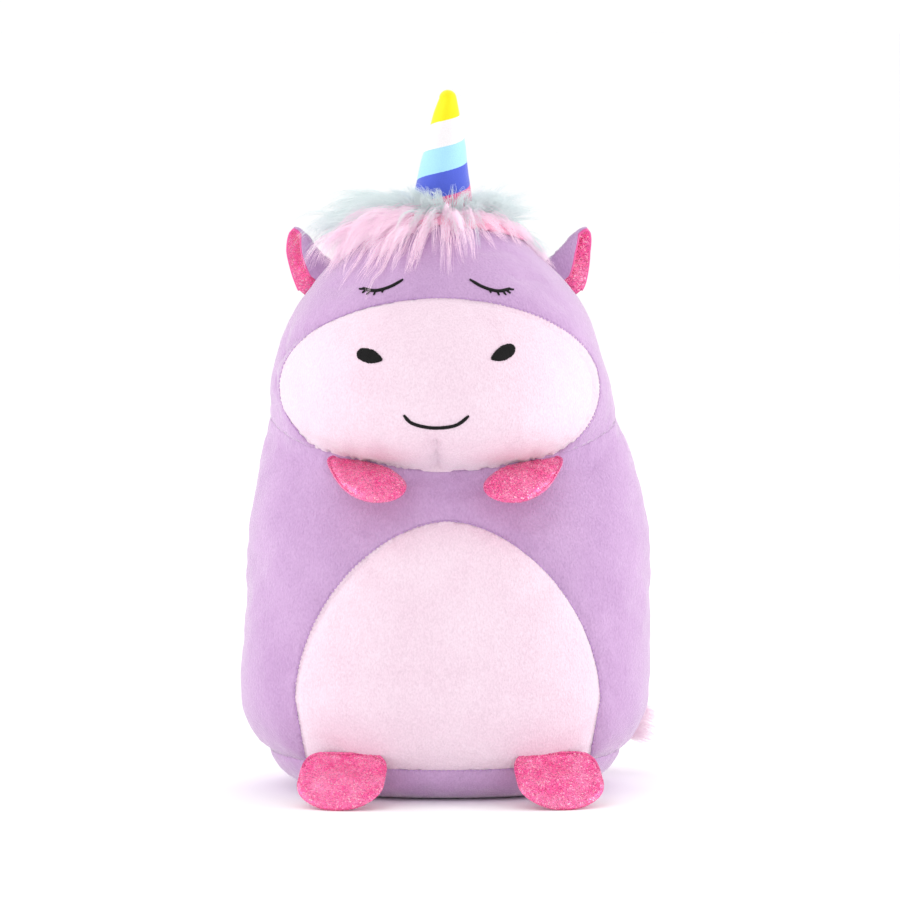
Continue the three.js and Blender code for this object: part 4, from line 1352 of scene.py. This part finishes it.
def locks(
    name, paths, hairs, root_spread, tip_spread, thickness, material, slot, body, curl=1.2
):
    """Each lock as many fine tapered hairs that draw together towards the tip."""
    k = paths.shape[1]
    paths = np.repeat(paths, hairs, axis=0)
    total = len(paths)
    share = np.linspace(0, 1, k)[None, :, None]
    reach = RNG.uniform(0.62, 1.08, (total, 1))
    at = np.clip(np.linspace(0, 1, k)[None] * reach, 0, 1) * (k - 1)
    low = np.minimum(at.astype(int), k - 2)
    part = (at - low)[..., None]
    row = np.arange(total)[:, None]
    paths = paths[row, low] * (1 - part) + paths[row, low + 1] * part
    offset = RNG.normal(size=(total, 1, 3)) * root_spread * 0.5
    fly = 1 + 1.6 * (RNG.random((total, 1, 1)) > 0.9)
    spread = (1 - share) + share * tip_spread / root_spread * fly
    phase = RNG.uniform(0, 2 * np.pi, (total, 1, 3))
    rate = RNG.uniform(1.0, 2.6, (total, 1, 3))
    wave = np.sin(phase + rate * 2.5 * share) * curl * share**1.2
    points = paths + offset * spread + wave
    radii = thickness * RNG.uniform(0.7, 1.25, (total, 1)) * (1 - 0.85 * share[..., 0] ** 1.5)
    verts, triangles = tubes(points, radii, 3)
    mesh = triangle_mesh(name, verts, triangles)
    float_attribute(mesh, "tone", np.repeat(np.clip(RNG.normal(0.5, 0.25, total), 0, 1), k * 3))
    float_attribute(mesh, "along", np.tile(np.repeat(np.linspace(0, 1, k), 3), total))
    return add_object(name, mesh, material, body)


def strip_backing(name, surface, mask, material, nodes):
    """Cloth patch on the crown under a strip of fur."""
    step = 2.2
    xs = np.arange(-60, 60.1, step)
    ys = np.arange(-50, 60.1, step)
    index, points = {}, []
    for i, x in enumerate(xs):
        for j, y in enumerate(ys):
            if mask(x, y):
                place, normal = surface.from_above(x, y)
                index[i, j] = len(points)
                points.append(place + normal * (1.1 + 0.3 * math.sin(x * 0.7) * math.cos(y * 0.6)))
    faces = []
    for i, j in index:
        corners = [(i, j), (i + 1, j), (i + 1, j + 1), (i, j + 1)]
        if all(c in index for c in corners):
            faces.append([index[c] for c in corners])
    obj = thicken(add_object(name, list_mesh(name, points, faces), material), 1.3, offset=0)
    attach(obj, "root")
    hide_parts(*nodes)
    return obj


def oval(x, y, grow=0.0):
    return (x / (MANE_SPAN[0] + grow)) ** 2 + (y / (MANE_SPAN[1] + grow)) ** 2


def crown_roots(surface, count, test):
    roots, normals = [], []
    while len(roots) < count:
        x, y = RNG.uniform(-52, 52), RNG.uniform(-40, 60)
        if test(x, y):
            place, normal = surface.from_above(x, y)
            roots.append(place)
            normals.append(normal)
    return np.array(roots), np.array(normals)


def fur_flow(vectors, scatter):
    return unit(np.asarray(vectors, float)) + RNG.normal(size=(len(vectors), 3)) * scatter


def crown_tuft(
    name, surface, material, count, hairs, test, flow, scatter, length, lift, droop, clear,
    spread, thickness=0.11, body="root",
):
    """Locks rooted on the crown where a test of x and y passes."""
    roots, normals = crown_roots(surface, count, test)
    x, y = roots[:, 0], roots[:, 1]
    ways = fur_flow(np.stack([part + 0 * x for part in flow(x, y)], 1), scatter)
    lengths = length(x)
    lifts = RNG.uniform(*lift, count)
    falls = droop(x) if callable(droop) else np.full(count, droop)
    paths = comb(surface, roots, normals, ways, lengths, lifts, falls, RNG.uniform(*clear, count))
    slot = "rose_fur" if material is ROSE_FUR else "mint_fur"
    return locks(name, paths, hairs, *spread, thickness, material, slot, body)


def mane(surface):
    hole = HORN_BASE + 1.0
    strip_backing(
        "forelock_backing", surface,
        lambda x, y: oval(x, y) < 1 and y < MANE_SPLIT_Y and math.hypot(x, y) > hole + 2,
        ROSE_BACKING, ["forelock_strip"],
    )
    strip_backing(
        "crown_backing", surface,
        lambda x, y: oval(x, y) < 1 and y > MANE_SPLIT_Y - 1 and math.hypot(x, y) > hole + 2,
        MINT_BACKING, ["crown_mane_strip"],
    )

    def on_patch(x, y):
        return oval(x, y) < 1 and math.hypot(x, y) > hole

    # Rose forelock: fine wisps over the forehead, most of them to the toy's right.
    crown_tuft(
        "forelock_fur", surface, ROSE_FUR, 84, 42,
        lambda x, y: on_patch(x, y) and y < MANE_SPLIT_Y - 1
        and RNG.random() < (1.0 if x < -14 else 0.5 if x < 16 else 0.22),
        flow=lambda x, y: (x / 24 - 0.22, -0.8, -0.5), scatter=0.2,
        length=lambda x: RNG.uniform(20, 56, len(x)) * np.where(x > 12, 0.6, 1.0),
        lift=(0.1, 0.6), droop=0.5, clear=(0.6, 3.4), spread=(5.2, 0.7),
    )
    # Long thin strands down the middle of the forehead and past the right brow.
    crown_tuft(
        "strand_fur", surface, ROSE_FUR, 20, 24,
        lambda x, y: oval(x, y) < 1 and y < MANE_SPLIT_Y - 8 and -34 < x < 8,
        flow=lambda x, y: (x / 60 - 0.02, -0.8, -0.6), scatter=0.09,
        length=lambda x: RNG.uniform(44, 66, len(x)),
        lift=(0.1, 0.4), droop=0.5, clear=(0.6, 2.0), spread=(3.4, 0.5),
    )
    # Mint tuft: round and behind the horn, a long sweep to the toy's right and a short
    # one that points up to its left.
    crown_tuft(
        "crown_fur", surface, MINT_FUR, 190, 22,
        lambda x, y: oval(x, y) < (0.9 if x < 0 else 0.4) and y > MANE_SPLIT_Y - 3
        and math.hypot(x, y) > hole,
        flow=lambda x, y: (
            np.clip(x / 14, -1.1, 1.1), 0.02 * (y - 4) - 0.02, np.where(x > 0, 0.4, 0.1)
        ),
        scatter=0.2,
        length=lambda x: np.where(
            x > 0, RNG.uniform(16, 30, len(x)), RNG.uniform(26, 50, len(x))
        ),
        lift=(0.15, 0.75), droop=lambda x: np.where(x > 0, 0.1, 0.3), clear=(1.0, 7.0),
        spread=(4.2, 1.0),
    )
    # Short mint pile that covers the rest of the patch on the toy's left.
    crown_tuft(
        "crown_side_fur", surface, MINT_FUR, 110, 20,
        lambda x, y: x > 4 and 0.3 < oval(x, y) and on_patch(x, y) and y > MANE_SPLIT_Y,
        flow=lambda x, y: (0.6, (y - 6) / 22, -0.3), scatter=0.25,
        length=lambda x: RNG.uniform(11, 19, len(x)),
        lift=(0.2, 0.7), droop=0.5, clear=(0.8, 3.0), spread=(3.8, 1.2),
    )
    # Mint fringe that stands round the foot of the horn.
    fringe = crown_tuft(
        "fringe_fur", surface, MINT_FUR, 120, 20,
        lambda x, y: y < 8 and hole - 1 < math.hypot(x, y) < hole + 5,
        flow=lambda x, y: (x / 16 - 0.15, -0.3, 0.9), scatter=0.35,
        length=lambda x: RNG.uniform(11, 19, len(x)),
        lift=(1.0, 2.0), droop=0.45, clear=(5, 9.0), spread=(3.0, 0.8), body=None,
    )
    bend_with_horn(fringe)
    # A few longer mint wisps that hang from the fringe over the forelock.
    crown_tuft(
        "wisp_fur", surface, MINT_FUR, 16, 20,
        lambda x, y: y < MANE_SPLIT_Y and -26 < x < 16 and hole < math.hypot(x, y) < hole + 8,
        flow=lambda x, y: (x / 40 - 0.15, -0.9, -0.2), scatter=0.15,
        length=lambda x: RNG.uniform(22, 44, len(x)),
        lift=(0.3, 0.8), droop=0.55, clear=(2.0, 4.5), spread=(3.0, 0.5), thickness=0.10,
    )


def back_mane(surface):
    low, high = (np.array(corner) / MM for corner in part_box("back_mane_strip"))
    rows, columns = 60, 14
    points = []
    for i in range(rows + 1):
        z = low[2] + (CROWN_Z - 6 - low[2]) * i / rows
        for j in range(columns + 1):
            x = low[0] + (high[0] - low[0]) * j / columns
            found = surface.hit((x, 400, z), (0, -1, 0))
            edge = 1 - abs(2 * j / columns - 1) ** 6
            points.append(found[0] + found[1] * (0.5 + 0.9 * edge))
    faces = []
    width = columns + 1
    for i in range(rows):
        for j in range(columns):
            a = i * width + j
            faces.append((a, a + width, a + width + 1, a + 1))
    mesh = list_mesh("back_mane_backing", points, faces)
    obj = thicken(add_object(mesh.name, mesh, MINT_BACKING), 1.2, offset=0, smooth=False)
    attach(obj, "root")
    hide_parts("back_mane_strip")
    count = 330
    z = RNG.uniform(low[2] + 6, CROWN_Z - 8, count)
    x = RNG.uniform(low[0] + 1, high[0] - 1, count)
    found = [surface.hit((a, 400, b), (0, -1, 0)) for a, b in zip(x, z)]
    roots = np.array([f[0] for f in found])
    normals = np.array([f[1] for f in found])
    flow = fur_flow(np.stack([x / 14, 0 * x + 0.15, -0.9 + 0 * x], 1), 0.2)
    length = RNG.uniform(26, 46, count)
    length = np.minimum(length, 26 + 0.6 * (z - low[2]))
    paths = comb(surface, roots, normals, flow, length, RNG.uniform(0.3, 0.9, count),
                 np.full(count, 0.5), RNG.uniform(1.0, 5.0, count))
    locks("back_mane_fur", paths, 18, 3.8, 1.2, 0.12, MINT_FUR, "mint_fur", "root")


def tail():
    pivot, _ = joint_place("tail_swing")
    low, high = (np.array(corner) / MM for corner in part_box("tail_strip"))
    tip = np.array([high[0] - 1, low[1] + 2, low[2] + 8.6])
    middle = np.array([0.6 * tip[0], pivot[1], (pivot[2] + tip[2]) / 2])
    t = np.linspace(0, 1, 30)[:, None]
    curve = (1 - t) ** 2 * pivot + 2 * t * (1 - t) * middle + t**2 * tip
    root = np.array([pivot - [0, 8, 0], pivot - [0, 4, 0]])
    core_path = np.concatenate([root, curve[:24]])[None]
    core_radius = np.interp(np.arange(26), [0, 3, 14, 24, 25], [3.4, 3.6, 3.4, 2.2, 0.8])[None]
    mesh = triangle_mesh("tail_core", *tubes(core_path, core_radius, 14))
    core = add_object("tail_core", mesh, TAIL_BACKING)
    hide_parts("tail_strip")
    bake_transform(core)
    count = 400
    share = np.maximum(RNG.uniform(-0.2, 0.8, count), 0)  # thick where it leaves the seam
    along = unit(np.gradient(curve, axis=0))
    roots = np.stack([np.interp(share, t[:, 0], curve[:, k]) for k in range(3)], 1)
    ways = np.stack([np.interp(share, t[:, 0], along[:, k]) for k in range(3)], 1)
    out = unit(np.cross(ways, [0, 0, 1]))
    angle = RNG.uniform(0, 2 * np.pi, count)
    normal = out * np.cos(angle)[:, None] * 0.5 + np.array([0, 0, 1.0]) * np.sin(angle)[:, None]
    left = (1 - share) * np.linalg.norm(tip - pivot) * 1.12
    length = np.minimum(RNG.uniform(30, 50, count), left + 4)
    steps = 9
    paths = []
    for i in range(count):
        point = roots[i] + normal[i] * 2.0 - ways[i] * (5 if share[i] == 0 else 0)
        path = [point]
        for k in range(1, steps):
            s = min(share[i] + (1 - share[i]) * k / steps * length[i] / max(left[i], 1), 1)
            way = np.array([np.interp(s, t[:, 0], along[:, c]) for c in range(3)])
            spread = normal[i] * (0.6 - 0.8 * k / steps)
            point = point + (way + spread) * length[i] / steps
            path.append(point)
        paths.append(path)
    paths = np.array(paths)
    locks("tail_fur", paths, 17, 3.6, 1.8, 0.13, TAIL_FUR, "pale_pink_fur", "tail", curl=1.0)


# ------------------------------------------------------------ studio


def studio():
    scene = bpy.context.scene
    bm = bmesh.new()
    bmesh.ops.create_grid(bm, x_segments=2, y_segments=2, size=6)
    mesh = bpy.data.meshes.new("floor")
    bm.to_mesh(mesh)
    bm.free()
    floor_shader = Shader("floor_paper", 0.85)
    floor_shader.link(
        floor_shader.ramp(
            floor_shader.noise(60, 2), [(0.3, (0.96, 0.96, 0.965)), (0.7, (0.975, 0.975, 0.975))]
        ),
        "Base Color",
    )
    floor = add_object("floor", mesh, floor_shader.material)
    world = bpy.data.worlds.new("studio")
    world.use_nodes = True
    world.node_tree.nodes["Background"].inputs["Color"].default_value = (1, 1, 1, 1)
    world.node_tree.nodes["Background"].inputs["Strength"].default_value = 1.04
    scene.world = world
    for name, place, size, power, aim in (
        ("key", (-0.9, -1.7, 1.7), 1.2, 5, 0.18),
        ("side_right", (-1.7, 0.1, 0.6), 1.2, 11, 0.18),
        ("side_left", (1.7, 0.1, 0.6), 1.2, 14, 0.18),
        ("rim", (0.3, 1.6, 1.6), 1.2, 7, 0.25),
    ):
        light = bpy.data.lights.new(name, "AREA")
        light.size = size
        light.energy = power
        lamp = bpy.data.objects.new(name, light)
        lamp.location = place
        direction = Vector((0, 0, aim)) - Vector(place)
        lamp.rotation_euler = direction.to_track_quat("-Z", "Y").to_euler()
        scene.collection.objects.link(lamp)
    camera = bpy.data.cameras.new("camera")
    camera.lens = 500
    camera.sensor_width = 36
    camera.clip_end = 50
    width = 0.5094
    distance = camera.lens / camera.sensor_width * width
    rise = math.radians(6)
    target = Vector((0.0028, 0, 0.191))
    eye = bpy.data.objects.new("camera", camera)
    eye.location = target + distance * Vector((0, -math.cos(rise), math.sin(rise)))
    eye.rotation_euler = (math.radians(90) - rise, 0, 0)
    scene.collection.objects.link(eye)
    scene.camera = eye
    scene.view_settings.view_transform = "Standard"


studio()
skin = body_skin()
surface = Surface(skin)
body_panels(skin)
bpy.data.objects.remove(skin)
for place, outline in (
    ("muzzle", muzzle_outline()),
    ("belly", belly_outline()),
    ("base", base_outline()),
):
    laid = on_surface(surface, outline, 0.15)
    seam_stitches(f"{place}_stitches", laid, LILAC_THREAD)
face_stitching(surface)
paws_and_feet()
ears()
horn()
mane(surface)
back_mane(surface)
tail()
